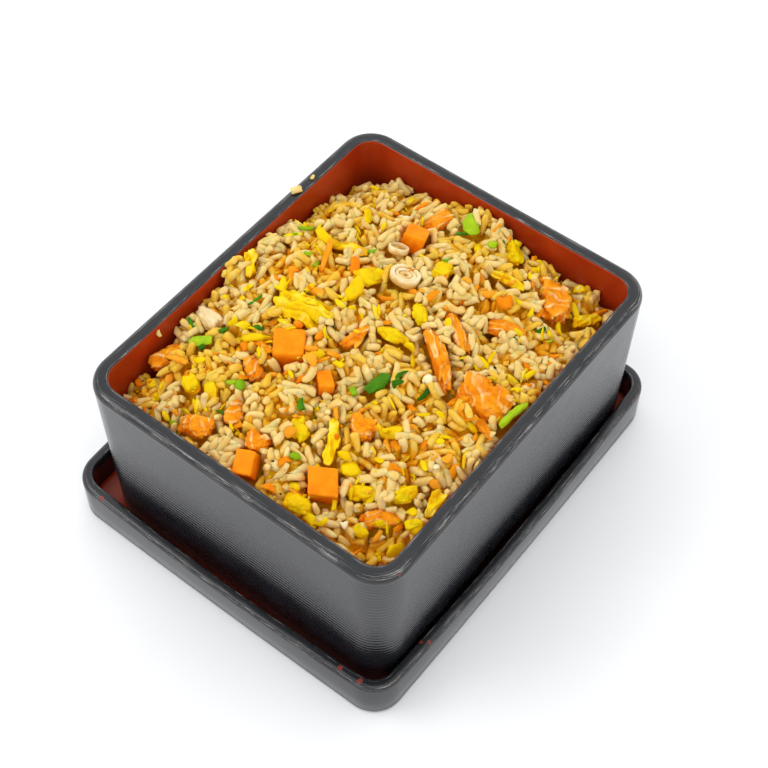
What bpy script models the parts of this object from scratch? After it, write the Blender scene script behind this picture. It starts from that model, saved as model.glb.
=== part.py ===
"""Fried rice heaped in a lacquered long box that stands in its upturned lid.

Metres, +Z up. The origin is on the table, under the middle of the upturned lid.
The box stands a little off that middle, so all that is in it hangs on one empty.
"""

import math
import random

import bmesh
import bpy
from mathutils import Quaternion, Vector, noise
from mathutils.bvhtree import BVHTree

MM = 0.001
GAP = 0.3 * MM

# Long box
BOX_SHIFT = (-0.8 * MM, -3.1 * MM)
BOX_HALF_X = 76.0 * MM
BOX_HALF_Y = 63.5 * MM
BOX_BOTTOM = 3.6 * MM
BOX_TOP = 77.0 * MM
BOX_CORNER = 12.5 * MM
BOX_RIM = 5.5 * MM
BOX_FLOOR = 9.0 * MM
BOX_DRAFT = 0.0175
RIM_ROUND = 2.3 * MM
RIM_INNER_ROUND = 0.9 * MM
FOOT_ROUND = 1.2 * MM
FLOOR_FILLET = 3.0 * MM

# Upturned lid, whose sides bow out a little at its edge
LID_HALF_X = 83.1 * MM
LID_HALF_Y = 70.4 * MM
LID_BOW_TOP = 1.5 * MM
LID_BOW_FOOT = 0.3 * MM
LID_TOP = 17.7 * MM
LID_CORNER = 11.1 * MM
LID_RIM = 4.1 * MM
LID_FLOOR = 3.3 * MM
LID_RIM_ROUND = 1.8 * MM

# Heap of rice
HEAP_BOTTOM = BOX_FLOOR + GAP
HEAP_CROWN = 78.2 * MM
HEAP_FALL_X = 9.0 * MM
HEAP_FALL_Y = 7.0 * MM
HEAP_FALL_CORNER = 6.0 * MM
HEAP_CELLS = (24, 20)
LUMP_HEIGHT = 1.1 * MM
LUMP_SIZE = 9.0 * MM
GRAIN_LENGTH = 8.0 * MM
GRAIN_WIDTH = 3.3 * MM
GRAIN_SPACING = 8.7 * MM
GRAIN_TRIES = 4
GRAIN_CLEARANCE = 0.4 * MM

SHARP_ANGLE = math.radians(35.0)
ARC_STEPS = 6
SIDE_STEPS = 3

# Hollows where the heap falls away from the wall and mounds where it leans on it,
# each as x, y, depth and reach from the box's middle
HEAP_DIPS = (
    (34 * MM, 56 * MM, 5 * MM, 9 * MM),
    (54 * MM, 54 * MM, 3 * MM, 9 * MM),
    (70 * MM, 50 * MM, 6 * MM, 8 * MM),
    (70 * MM, 31 * MM, 3 * MM, 10 * MM),
    (70 * MM, -25 * MM, 5 * MM, 11 * MM),
    (66 * MM, -50 * MM, 2 * MM, 10 * MM),
    (-64 * MM, -50 * MM, 4 * MM, 12 * MM),
    (-2 * MM, 57 * MM, -3 * MM, 14 * MM),
    (70 * MM, 4 * MM, -2 * MM, 10 * MM),
)

for old in list(bpy.data.objects):
    bpy.data.objects.remove(old, do_unlink=True)

dice = random.Random(11)


def new_collection(name, hidden=False):
    """A collection in the scene; hidden ones hold the cutting shapes."""
    made = bpy.data.collections.new(name)
    bpy.context.scene.collection.children.link(made)
    made.hide_render = hidden
    return made


food_and_box = new_collection("fried_rice_in_box")
cutters = new_collection("cutters", hidden=True)
grain_pile = new_collection("loose_grains", hidden=True)


def new_material(name, color, roughness, coat=0.0):
    """A Principled material with one colour."""
    made = bpy.data.materials.new(name)
    made.use_nodes = True
    shader = made.node_tree.nodes["Principled BSDF"]
    shader.inputs["Base Color"].default_value = (*color, 1.0)
    shader.inputs["Roughness"].default_value = roughness
    shader.inputs["Metallic"].default_value = 0.0
    shader.inputs["Coat Weight"].default_value = coat
    made.diffuse_color = (*color, 1.0)
    return made


LACQUER = new_material("lacquer", (0.012, 0.013, 0.016), 0.25, coat=0.4)
RICE = new_material("rice", (0.66, 0.50, 0.29), 0.35, coat=0.3)
CARROT = new_material("carrot", (0.93, 0.26, 0.03), 0.35, coat=0.3)
SALMON = new_material("salmon", (0.85, 0.27, 0.07), 0.45, coat=0.2)
EGG = new_material("egg", (0.86, 0.58, 0.02), 0.4, coat=0.2)
GREEN = new_material("green_onion", (0.16, 0.42, 0.04), 0.35, coat=0.3)
ONION = new_material("onion", (0.72, 0.45, 0.22), 0.3, coat=0.3)

root = bpy.data.objects.new("root", None)
food_and_box.objects.link(root)
box_place = bpy.data.objects.new("box_place", None)
box_place.location = (*BOX_SHIFT, 0.0)
box_place.parent = root
food_and_box.objects.link(box_place)


def new_object(name, bm, material, collection=food_and_box, parent=box_place):
    """Turn a bmesh into an object of the given collection."""
    bmesh.ops.recalc_face_normals(bm, faces=bm.faces[:])
    mesh = bpy.data.meshes.new(name)
    bm.to_mesh(mesh)
    bm.free()
    mesh.materials.append(material)
    made = bpy.data.objects.new(name, mesh)
    made.parent = parent
    collection.objects.link(made)
    if collection is not food_and_box:
        made.hide_render = True
        made.display_type = "WIRE"
    return made


def apply_boolean(target, operation, operand, solver="EXACT"):
    """Join, cut or trim a solid with an object or a collection, and keep the result."""
    modifier = target.modifiers.new(operation.lower(), "BOOLEAN")
    modifier.operation = operation
    modifier.solver = solver
    if isinstance(operand, bpy.types.Collection):
        modifier.operand_type = "COLLECTION"
        modifier.collection = operand
    else:
        modifier.object = operand
    graph = bpy.context.evaluated_depsgraph_get()
    result = bpy.data.meshes.new_from_object(target.evaluated_get(graph))
    target.modifiers.clear()
    target.data = result


def keep_largest(target):
    """Drop loose scraps, so that the solid is one closed piece."""
    bm = bmesh.new()
    bm.from_mesh(target.data)
    waiting = set(bm.verts)
    islands = []
    while waiting:
        stack = [waiting.pop()]
        island = set(stack)
        while stack:
            for edge in stack.pop().link_edges:
                for vert in edge.verts:
                    if vert not in island:
                        island.add(vert)
                        waiting.discard(vert)
                        stack.append(vert)
        islands.append(island)
    islands.sort(key=len)
    scraps = [vert for island in islands[:-1] for vert in island]
    bmesh.ops.delete(bm, geom=scraps, context="VERTS")
    bm.to_mesh(target.data)
    bm.free()


# --- Box and lid ---


def plan_ring(half_x, half_y, radius, bow=0.0):
    """Plan outline of a rounded rectangle whose sides may bow out."""
    signs = ((1, 1), (-1, 1), (-1, -1), (1, -1))
    centres = [Vector((x * (half_x - radius), y * (half_y - radius))) for x, y in signs]
    ring = []
    for quarter, centre in enumerate(centres):
        for step in range(ARC_STEPS + 1):
            angle = math.radians(90.0 * (quarter + step / ARC_STEPS))
            outward = Vector((math.cos(angle), math.sin(angle)))
            ring.append(centre + radius * outward)
        start = ring[-1]
        end = centres[(quarter + 1) % 4] + radius * outward
        steps = SIDE_STEPS if bow else 1
        for step in range(1, steps):
            share = step / steps
            push = bow * (1.0 - (2.0 * share - 1.0) ** 2)
            ring.append(start.lerp(end, share) + push * outward)
    return ring


def loft(rings):
    """Skin a row of level rings, each a height and an outline, and close its ends."""
    bm = bmesh.new()
    loops = [[bm.verts.new((point.x, point.y, height)) for point in ring] for height, ring in rings]
    for lower, upper in zip(loops, loops[1:]):
        for index in range(len(lower)):
            bm.faces.new((lower[index - 1], lower[index], upper[index], upper[index - 1]))
    bm.faces.new(loops[0])
    bm.faces.new(loops[-1])
    return bm


def quarter_round(inset, height, radius, side_in, steps=3):
    """Points of a rounded edge, from the wall to the face, as inset and height."""
    points = []
    for step in range(steps + 1):
        angle = 0.5 * math.pi * step / steps
        points.append((inset + side_in * radius * (1.0 - math.cos(angle)),
                       height - radius * (1.0 - math.sin(angle))))
    return points


def box_profile():
    """Section of the box's wall, from under the foot, over the rim, to the floor inside."""
    depth = BOX_TOP - BOX_BOTTOM
    foot = BOX_DRAFT * depth
    inner_drop = BOX_DRAFT * (BOX_TOP - BOX_FLOOR)
    points = [(foot + FOOT_ROUND, BOX_BOTTOM), (foot, BOX_BOTTOM + FOOT_ROUND)]
    points += quarter_round(0.0, BOX_TOP, RIM_ROUND, 1.0)
    points += reversed(quarter_round(BOX_RIM, BOX_TOP, RIM_INNER_ROUND, -1.0, steps=2))
    points.append((BOX_RIM + inner_drop, BOX_FLOOR + FLOOR_FILLET))
    points.append((BOX_RIM + inner_drop + 0.3 * FLOOR_FILLET, BOX_FLOOR + 0.3 * FLOOR_FILLET))
    points.append((BOX_RIM + inner_drop + FLOOR_FILLET, BOX_FLOOR))
    return points


def make_box():
    """The long box: one thick shell with a rounded rim."""
    rings = []
    for inset, height in box_profile():
        radius = max(BOX_CORNER - inset, FLOOR_FILLET)
        rings.append((height, plan_ring(BOX_HALF_X - inset, BOX_HALF_Y - inset, radius)))
    return new_object("box", loft(rings), LACQUER)


def make_lid():
    """The lid, upturned to stand under the box like a saucer."""
    points = [(FOOT_ROUND, 0.0), (0.0, FOOT_ROUND)]
    points += quarter_round(0.0, LID_TOP, LID_RIM_ROUND, 1.0)
    points += reversed(quarter_round(LID_RIM, LID_TOP, RIM_INNER_ROUND, -1.0, steps=2))
    points += [(LID_RIM, LID_FLOOR + FOOT_ROUND), (LID_RIM + FOOT_ROUND, LID_FLOOR)]
    rings = []
    for inset, height in points:
        share = height / LID_TOP
        bow = LID_BOW_FOOT + (LID_BOW_TOP - LID_BOW_FOOT) * share
        radius = max(LID_CORNER - inset, FLOOR_FILLET)
        rings.append((height, plan_ring(LID_HALF_X - inset, LID_HALF_Y - inset, radius, bow)))
    return new_object("lid", loft(rings), LACQUER, parent=root)


# --- Heap of rice ---


def heap_height(x, y):
    """Height of the heap's surface between its grains."""
    across = abs(x) / (BOX_HALF_X - BOX_RIM)
    along = abs(y) / (BOX_HALF_Y - BOX_RIM)
    height = HEAP_CROWN - HEAP_FALL_X * across ** 2.2 - HEAP_FALL_Y * along ** 2.2
    height -= HEAP_FALL_CORNER * (across * along) ** 2
    for dip_x, dip_y, depth, reach in HEAP_DIPS:
        away = (x - dip_x) ** 2 + (y - dip_y) ** 2
        height -= depth * math.exp(-away / reach ** 2)
    return height + LUMP_HEIGHT * noise.noise(Vector((x, y, 0.0)) / LUMP_SIZE)


def heap_normal(x, y):
    """Direction that the heap's surface faces."""
    step = 2.0 * MM
    slope_x = (heap_height(x + step, y) - heap_height(x - step, y)) / (2.0 * step)
    slope_y = (heap_height(x, y + step) - heap_height(x, y - step)) / (2.0 * step)
    return Vector((-slope_x, -slope_y, 1.0)).normalized()


def inside_ring(height, gap):
    """Outline of the box's inside at a height, less a gap."""
    inset = BOX_RIM + BOX_DRAFT * (BOX_TOP - height) + gap
    radius = max(BOX_CORNER - inset, FLOOR_FILLET)
    return plan_ring(BOX_HALF_X - inset, BOX_HALF_Y - inset, radius)


def make_heap(name, lift, collection):
    """The heap without its grains: a lumpy surface trimmed to the box's inside."""
    foot = HEAP_BOTTOM + FLOOR_FILLET
    rings = [(HEAP_BOTTOM, inside_ring(HEAP_BOTTOM, GAP + FLOOR_FILLET)),
             (foot, inside_ring(foot, GAP)),
             (BOX_TOP + 8.0 * MM, inside_ring(BOX_TOP + 8.0 * MM, GAP))]
    heap = new_object(name, loft(rings), RICE, collection)
    bm = bmesh.new()
    bmesh.ops.create_grid(bm, x_segments=HEAP_CELLS[0], y_segments=HEAP_CELLS[1], size=1.0)
    bmesh.ops.scale(bm, vec=(BOX_HALF_X, BOX_HALF_Y, 1.0), verts=bm.verts[:])
    for vert in bm.verts:
        vert.co.z = heap_height(vert.co.x, vert.co.y) + lift
    bmesh.ops.triangulate(bm, faces=bm.faces[:])
    under = bmesh.ops.extrude_face_region(bm, geom=bm.faces[:])["geom"]
    for item in under:
        if isinstance(item, bmesh.types.BMVert):
            item.co.z = 0.0
    slab = new_object("slab", bm, RICE, cutters)
    apply_boolean(heap, "INTERSECT", slab)
    bpy.data.objects.remove(slab, do_unlink=True)
    return heap


# --- Toppings ---


def block(length, width, height, bevel=0.9 * MM):
    """A diced piece with softened, slightly uneven edges."""
    bm = bmesh.new()
    bmesh.ops.create_cube(bm, size=1.0)
    bmesh.ops.scale(bm, vec=(length, width, height), verts=bm.verts[:])
    for vert in bm.verts:
        vert.co += 0.6 * MM * Vector([dice.uniform(-1.0, 1.0) for _ in range(3)])
    bmesh.ops.bevel(bm, geom=bm.edges[:], offset=bevel, segments=1, affect="EDGES")
    return bm


def lump(length, width, height, rough=0.22):
    """A torn or scrambled piece: a ball pressed flat and dented by noise."""
    bm = bmesh.new()
    bmesh.ops.create_icosphere(bm, subdivisions=2, radius=0.5)
    seed = Vector([dice.uniform(0.0, 50.0) for _ in range(3)])
    for vert in bm.verts:
        vert.co *= 1.0 + rough * 2.0 * noise.noise(3.0 * vert.co + seed)
    bmesh.ops.scale(bm, vec=(length, width, height), verts=bm.verts[:])
    return bm


def sheet(length, width, thick, waves=1.0, wave_height=1.0 * MM, curl=0.0):
    """A ribbon or flake that rises and falls along its length and curls across it."""
    bm = bmesh.new()
    bmesh.ops.create_grid(bm, x_segments=6, y_segments=2, size=0.5)
    phase = dice.uniform(0.0, math.tau)
    for vert in bm.verts:
        share = vert.co.x
        edge = abs(2.0 * vert.co.y)
        narrow = 1.0 - 0.35 * abs(2.0 * share) ** 3 + 0.15 * math.sin(7.0 * share + phase)
        vert.co.x *= length
        vert.co.y *= width * narrow
        vert.co.z = wave_height * math.sin(math.tau * waves * share + phase) - curl * edge ** 2
    over = bmesh.ops.extrude_face_region(bm, geom=bm.faces[:])["geom"]
    for item in over:
        if isinstance(item, bmesh.types.BMVert):
            item.co.z += thick
    return bm


def hoop(outer, wall, height, sides=14):
    """A slice of a tube: a small rectangle turned round the Z axis."""
    bm = bmesh.new()
    corners = ((outer - wall, 0.0), (outer, 0.0), (outer, height), (outer - wall, height))
    verts = [bm.verts.new((x, 0.0, z)) for x, z in corners]
    edges = [bm.edges.new(pair) for pair in zip(verts, verts[1:] + verts[:1])]
    bmesh.ops.spin(bm, geom=verts + edges, axis=(0, 0, 1), cent=(0, 0, 0),
                   angle=math.tau, steps=sides, use_merge=True)
    bmesh.ops.remove_doubles(bm, verts=bm.verts[:], dist=0.01 * MM)
    return bm


def slice_of_stalk(outer, height, sides=14):
    """A round slice with a sunken ring between its layers."""
    bm = bmesh.new()
    steps = ((0.0, height), (0.35 * outer, height), (0.5 * outer, 0.75 * height),
             (0.65 * outer, height), (0.92 * outer, height), (outer, 0.8 * height),
             (outer, 0.0), (0.0, 0.0))
    verts = [bm.verts.new((x, 0.0, z)) for x, z in steps]
    edges = [bm.edges.new(pair) for pair in zip(verts, verts[1:])]
    bmesh.ops.spin(bm, geom=verts + edges, axis=(0, 0, 1), cent=(0, 0, 0),
                   angle=math.tau, steps=sides, use_merge=True)
    bmesh.ops.remove_doubles(bm, verts=bm.verts[:], dist=0.01 * MM)
    return bm


toppings = []


def lay(name, bm, material, x, y, turn, rise=0.0, tip=0.0):
    """Lay a piece on the heap, its middle at x and y, along the slope there."""
    made = new_object(name, bm, material)
    made.location = (x * MM, y * MM, heap_height(x * MM, y * MM) + rise * MM)
    level_to_slope = Vector((0.0, 0.0, 1.0)).rotation_difference(heap_normal(x * MM, y * MM))
    turned = Quaternion((0.0, 0.0, 1.0), math.radians(turn))
    tipped = Quaternion((0.0, 1.0, 0.0), math.radians(tip))
    made.rotation_mode = "QUATERNION"
    made.rotation_quaternion = level_to_slope @ turned @ tipped
    toppings.append(made)
    return made


def carrot(name, x, y, size, turn, rise, tip=0.0):
    lay("carrot_" + name, block(*[side * MM for side in size]), CARROT, x, y, turn, rise, tip)


def salmon(name, x, y, size, turn, rise, tip=0.0):
    lay("salmon_" + name, lump(*[side * MM for side in size]), SALMON, x, y, turn, rise, tip)


def egg(name, x, y, size, turn, rise, tip=0.0):
    lay("egg_" + name, lump(*[side * MM for side in size], rough=0.3), EGG, x, y, turn, rise, tip)


def egg_ribbon(name, x, y, size, turn, rise, tip=0.0, waves=1.0):
    lay("egg_" + name, sheet(*[side * MM for side in size], waves), EGG, x, y, turn, rise, tip)


def green(name, x, y, size, turn, rise, tip=0.0, curl=1.0):
    shape = sheet(*[side * MM for side in size], 0.5, 0.4 * MM, curl * MM)
    lay("green_onion_" + name, shape, GREEN, x, y, turn, rise, tip)


def lay_toppings():
    """All pieces as large as a berry, from the left corner round to the right one."""
    carrot("cube_large", -23, 17, (10.5, 10.5, 9), 35, 0.5)
    carrot("cube_front", -55, -23, (9.5, 9.5, 8), 38, 0.8)
    carrot("cube_rim", -64, 1, (8.5, 6.5, 7), 25, 1.5)
    carrot("round_back", 41.5, 14.5, (7.5, 8, 7), 20, 1.2)
    carrot("wedge", -27, -1, (7, 5, 5), 50, 1.0)

    salmon("flake_large", 1, -45, (19, 14, 7), -69, 1.5, 6)
    salmon("chunk_right", 53, -38, (22, 12, 8), 36, 1.0)
    salmon("strip_long", 3, -25, (26, 6, 6), 47, 2.0)
    salmon("strip_inner", 15.5, -23, (17, 5, 5), 60, 1.6)
    salmon("flake_right", 29, -34, (15, 7, 5), -55, 1.6)
    salmon("strip_back", 55, 14, (14, 7, 5), -18, 1.2)
    salmon("flake_left", -46, 52, (13, 7, 5), -16, 1.6)
    salmon("flake_front", -62, 24, (13, 8, 5), -85, 1.4)
    salmon("cube_left", -52, 16, (9, 8, 7), 11, 0.8)
    salmon("cube_front", -56, 3, (9, 7, 6), -77, 0.6)
    salmon("slice_front", -52, -43, (13, 6, 4), -44, 1.5)
    salmon("cube_middle", -33, -21, (9, 8, 7), -84, 1.0)
    salmon("shred_left", -36, 22, (11, 6, 5), 57, 1.0)
    salmon("shred_middle", -7, 2, (13, 5, 4), 0, 1.4)

    egg("curd_back", 17, 15, (11, 9, 5), -25, 1.5)
    egg_ribbon("sheet_folded", -8, 24, (22, 11, 2.2), -85, 0.6)
    egg_ribbon("ribbon_back", 23, 29, (17, 5, 2), -78, 1.4)
    egg_ribbon("stick_left", -3, 51, (12, 4, 2.4), 45, 0.6)
    egg("shred_centre", 1, -7, (13, 6, 4), -87, 1.5)
    egg("curd_top_right", 34, -3, (10, 7, 5), -10, 1.4)
    egg_ribbon("stick_right", 48, -22, (12, 5, 2.4), -75, 1.0)
    egg("curd_wall", 62, -14, (12, 7, 5), 49, 1.5)
    egg_ribbon("strip_corner", 56, -50, (15, 4, 2), -16, 1.2)
    egg_ribbon("strip_front", -43, -17, (16, 4, 2), 32, 1.4)
    egg("curd_front_left", -64.5, -21, (11, 6.5, 6), -83, 1.2)
    egg("curd_brown", -49, -34, (10, 7, 6), -43, 1.4)
    egg("curd_front_right", -42, -45, (10, 6, 5), -32, 1.6)
    egg("curd_left_front", -45, -5, (10, 6, 4), 57, 1.2)
    egg_ribbon("strip_front_rim", -38, -54, (9, 4, 2), 7, 1.4)
    egg("curd_left", -51, 36, (8, 6, 5), 60, 1.5)
    egg("curd_left_low", -50, 28, (8, 5, 4), 37, 1.5)
    egg("oval_middle", -28, -30, (8, 6, 4), -30, 1.6)
    egg("curd_centre_right", 14, -9, (10, 6, 4), 53, 1.4)

    green("chunk_left", -36, 44.5, (9, 5, 2), -70, 2.4)
    green("stem_middle", -17, -15, (10, 4.5, 2), -16, 2.0)
    green("leaf_right", 2, -55.9, (14, 2.6, 1.8), -5, 3.2, 0.0, 0.4)
    green("cap_back", 60, 3, (10, 6, 2.2), 42, 1.6)
    lay("onion_slice", slice_of_stalk(5.4 * MM, 3.2 * MM), ONION, 23, 5, 0, 0.8, 12)
    lay("onion_hoop", hoop(3.6 * MM, 1.0 * MM, 3.0 * MM), ONION, 32.5, 15, 0, 0.4, 20)
    lay("onion_chunk", block(12 * MM, 7 * MM, 6 * MM), ONION, -27, 50, 79, 1.0)


# --- Grains fused to the heap ---


def tree_of(target):
    """Search tree of a solid's faces, in the box's own frame."""
    bm = bmesh.new()
    bm.from_mesh(target.data)
    bm.transform(target.matrix_basis)
    tree = BVHTree.FromBMesh(bm)
    bm.free()
    return tree


def grain_spots():
    """Middles of the grains before each is moved a little: an even net over the heap."""
    spots = []
    count_x = int(2 * (BOX_HALF_X - BOX_RIM) / GRAIN_SPACING)
    count_y = int(2 * (BOX_HALF_Y - BOX_RIM) / GRAIN_SPACING)
    for column in range(count_x + 1):
        for row in range(count_y + 1):
            x = (column - 0.5 * count_x + 0.5 * (row % 2)) * GRAIN_SPACING
            y = (row - 0.5 * count_y) * GRAIN_SPACING
            spots.append((x, y))
    return spots


def make_grain(x, y):
    """One grain of low, long shape, half sunk in the heap."""
    bm = bmesh.new()
    bmesh.ops.create_uvsphere(bm, u_segments=5, v_segments=4, radius=0.5)
    length = GRAIN_LENGTH * dice.uniform(0.85, 1.1)
    bmesh.ops.scale(bm, vec=(GRAIN_WIDTH, GRAIN_WIDTH, length), verts=bm.verts[:])
    lie = Quaternion((0.0, 1.0, 0.0), math.radians(90.0 + dice.uniform(-25.0, 25.0)))
    turn = Quaternion((0.0, 0.0, 1.0), dice.uniform(0.0, math.tau))
    slope = Vector((0.0, 0.0, 1.0)).rotation_difference(heap_normal(x, y))
    middle = Vector((x, y, heap_height(x, y) + dice.uniform(0.5, 1.4) * MM))
    bm.transform((slope @ turn @ lie).to_matrix().to_4x4())
    bmesh.ops.translate(bm, vec=middle, verts=bm.verts[:])
    return bm


def is_clear(bm, trees):
    """True where a grain keeps off the toppings and inside the box."""
    keep_x = BOX_HALF_X - BOX_RIM - GRAIN_CLEARANCE
    keep_y = BOX_HALF_Y - BOX_RIM - GRAIN_CLEARANCE
    corner = BOX_CORNER - BOX_RIM
    for vert in bm.verts:
        drop = BOX_DRAFT * max(BOX_TOP - vert.co.z, 0.0)
        reach_x = abs(vert.co.x) + drop - (keep_x - corner)
        reach_y = abs(vert.co.y) + drop - (keep_y - corner)
        if max(reach_x, reach_y) > corner or math.hypot(max(reach_x, 0), max(reach_y, 0)) > corner:
            return False
        if any(tree.find_nearest(vert.co, GRAIN_CLEARANCE)[0] is not None for tree in trees):
            return False
    own = BVHTree.FromBMesh(bm)
    return not any(own.overlap(tree) for tree in trees)


def fuse_grains(heap):
    """Join the grains that keep clear to the heap."""
    trees = [tree_of(topping) for topping in toppings]
    count = 0
    for x, y in grain_spots():
        for _ in range(GRAIN_TRIES):
            bm = make_grain(x + dice.uniform(-1.5, 1.5) * MM, y + dice.uniform(-1.5, 1.5) * MM)
            if is_clear(bm, trees):
                count += 1
                new_object("grain_%03d" % count, bm, RICE, grain_pile)
                break
            bm.free()
    apply_boolean(heap, "UNION", grain_pile)
    for grain in list(grain_pile.objects):
        bpy.data.objects.remove(grain, do_unlink=True)
    keep_largest(heap)
    return count


make_box()
make_lid()
rice = make_heap("rice", 0.0, food_and_box)
raised = make_heap("heap_raised", GAP, cutters)
lay_toppings()
for topping in toppings:
    apply_boolean(topping, "DIFFERENCE", raised)
    keep_largest(topping)
grain_count = fuse_grains(rice)
for solid in food_and_box.objects:
    if solid.type == "MESH":
        solid.data.shade_smooth()
        solid.data.set_sharp_from_angle(angle=SHARP_ANGLE)
print("toppings", len(toppings), "grains", grain_count)
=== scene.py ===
# %% [markdown]
# # Fried rice in a lacquer box
# This lesson dresses a box of fried rice. The solids of the box, its lid, the heap and every topping come from
# the part and stay where they are. Here they get their surface: turned lines and worn edges, with a painted
# highlight along the rim, on the lacquer, nearly two thousand separate grains for the heap, and torn, diced and
# scrambled pieces for the toppings.

# %% Load the solids
import math

import bmesh
import bpy
import numpy as np
from mathutils import Matrix, Quaternion, Vector, noise
from mathutils.bvhtree import BVHTree


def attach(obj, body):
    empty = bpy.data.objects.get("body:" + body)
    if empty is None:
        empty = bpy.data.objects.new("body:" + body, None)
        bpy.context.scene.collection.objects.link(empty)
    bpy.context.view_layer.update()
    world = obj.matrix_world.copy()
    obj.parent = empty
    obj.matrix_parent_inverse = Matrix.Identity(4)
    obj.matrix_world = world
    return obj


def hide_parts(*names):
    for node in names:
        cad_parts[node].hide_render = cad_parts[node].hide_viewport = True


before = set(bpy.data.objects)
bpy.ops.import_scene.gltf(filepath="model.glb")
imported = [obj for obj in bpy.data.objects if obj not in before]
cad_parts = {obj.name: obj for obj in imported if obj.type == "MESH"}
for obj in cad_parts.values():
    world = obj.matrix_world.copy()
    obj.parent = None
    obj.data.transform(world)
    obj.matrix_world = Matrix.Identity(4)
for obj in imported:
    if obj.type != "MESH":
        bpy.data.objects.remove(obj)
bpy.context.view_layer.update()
MM = 0.001

# %% [markdown]
# ## The camera
# The picture was taken from above the left front corner, with a long lens, so opposite edges of the box run
# almost parallel. Three directions of unit length describe the camera: ahead, right and up. Written as the
# columns of a matrix they place it exactly, which is easier to reason about than three rotation angles.

# %% Camera
eye = Vector((-251.88, -199.35, 486.93)) * MM
ahead = Vector((0.46658, 0.35613, -0.80961)).normalized()
right = Vector((0.61425, -0.78908, 0.00689)).normalized()
upward = right.cross(ahead).normalized()

camera = bpy.data.objects.new("camera", bpy.data.cameras.new("camera"))
camera.data.sensor_width = 36.0
camera.data.lens = 72.99
camera.data.clip_start = 0.01
camera.matrix_world = Matrix.Translation(eye) @ Matrix((right, upward, -ahead)).transposed().to_4x4()
bpy.context.scene.collection.objects.link(camera)
bpy.context.scene.camera = camera
print("camera stands", round(eye.length, 3), "m from the table's middle")

# %% [markdown]
# ## Light
# The food stands on a white table in a white light tent, so light comes from all round and the table is almost
# as bright as the lamps. That is why there is hardly a shadow, and why the black walls look grey: they mirror
# the table. A pale world does the even part, and one broad lamp from the upper left gives the gloss. The colour
# transform is the plain one, so that white stays white.

# %% Light
scene = bpy.context.scene
scene.view_settings.view_transform = "Standard"
world = bpy.data.worlds.new("white_room")
world.use_nodes = True
sky = world.node_tree.nodes["Background"]
sky.inputs["Color"].default_value = (0.975, 0.985, 1.0, 1.0)
sky.inputs["Strength"].default_value = 1.2
scene.world = world

window = bpy.data.objects.new("window", bpy.data.lights.new("window", "AREA"))
window.data.size = 0.6
window.data.energy = 3.2
window.location = (-0.60, 0.70, 1.05)
window.rotation_mode = "QUATERNION"
window.rotation_quaternion = (Vector((0.0, 0.0, 0.05)) - window.location).to_track_quat("-Z", "Y")
scene.collection.objects.link(window)

# %% [markdown]
# ## Short names for shader nodes
# Every finish below is a small network. These helpers add one node each and link it, so that a finish reads
# like a list of what is done to the surface.

# %% Shader helpers


def new_finish(name):
    """A material, its tree and shader, a point's place on the object and its place on the local map."""
    made = bpy.data.materials.new(name)
    made.use_nodes = True
    tree = made.node_tree
    coordinates = tree.nodes.new("ShaderNodeTexCoord").outputs
    return made, tree, tree.nodes["Principled BSDF"], coordinates["Object"], coordinates["UV"]


def plug(tree, socket, value):
    """Link an output to a socket, or set the socket to a number, vector or colour."""
    if isinstance(value, bpy.types.NodeSocket):
        tree.links.new(value, socket)
    else:
        socket.default_value = (*value, 1.0) if socket.type == "RGBA" else value


def add_node(tree, kind, **sockets):
    """A node with some of its sockets filled."""
    made = tree.nodes.new(kind)
    for label, value in sockets.items():
        plug(tree, made.inputs[label.replace("_", " ")], value)
    return made


def add_noise(tree, where, size, detail=3.0, rough=0.5):
    """Noise of a given grain size in millimetres."""
    made = add_node(tree, "ShaderNodeTexNoise", Vector=where, Scale=1000.0 / size, Detail=detail, Roughness=rough)
    return made.outputs["Fac"]


def add_ramp(tree, factor, *stops):
    """A colour ramp from (position, colour) pairs; a colour may be one grey number."""
    made = add_node(tree, "ShaderNodeValToRGB", Fac=factor)
    ramp = made.color_ramp
    while len(ramp.elements) < len(stops):
        ramp.elements.new(0.5)
    for element, (position, color) in zip(ramp.elements, stops):
        element.position = position
        element.color = (color, color, color, 1.0) if isinstance(color, float) else (*color, 1.0)
    return made.outputs["Color"]


def add_math(tree, operation, first, second=0.0, clamp=False):
    """Arithmetic on two values."""
    made = tree.nodes.new("ShaderNodeMath")
    made.operation = operation
    made.use_clamp = clamp
    plug(tree, made.inputs[0], first)
    plug(tree, made.inputs[1], second)
    return made.outputs["Value"]


def add_mix(tree, factor, first, second):
    """Blend of two colours."""
    made = tree.nodes.new("ShaderNodeMix")
    made.data_type = "RGBA"
    for number, value in ((0, factor), (6, first), (7, second)):
        plug(tree, made.inputs[number], value)
    return made.outputs[2]


def add_bump(tree, shader, height, distance):
    """Relief from a height, its distance in millimetres."""
    made = add_node(tree, "ShaderNodeBump", Strength=1.0, Distance=distance * MM, Height=height)
    tree.links.new(made.outputs["Normal"], shader.inputs["Normal"])


def set_shader(shader, **values):
    """Set constants directly on the shader."""
    for label, value in values.items():
        shader.inputs[label.replace("_", " ")].default_value = value


# %% [markdown]
# ## Table
# One large sheet, so that its edge is never in the picture. It belongs to the stage and not to the food.

# %% Table
TABLE_HALF = 3.0
table_finish, tree, shader, where, local = new_finish("white_table")
tree.links.new(add_ramp(tree, add_noise(tree, where, 60.0), (0.3, 0.94), (0.7, 0.96)), shader.inputs["Base Color"])
set_shader(shader, Roughness=0.6)

table = bpy.data.objects.new("table", bpy.data.meshes.new("table"))
bm = bmesh.new()
bmesh.ops.create_grid(bm, x_segments=8, y_segments=8, size=TABLE_HALF)
bm.to_mesh(table.data)
bm.free()
table.data.materials.append(table_finish)
scene.collection.objects.link(table)
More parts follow.
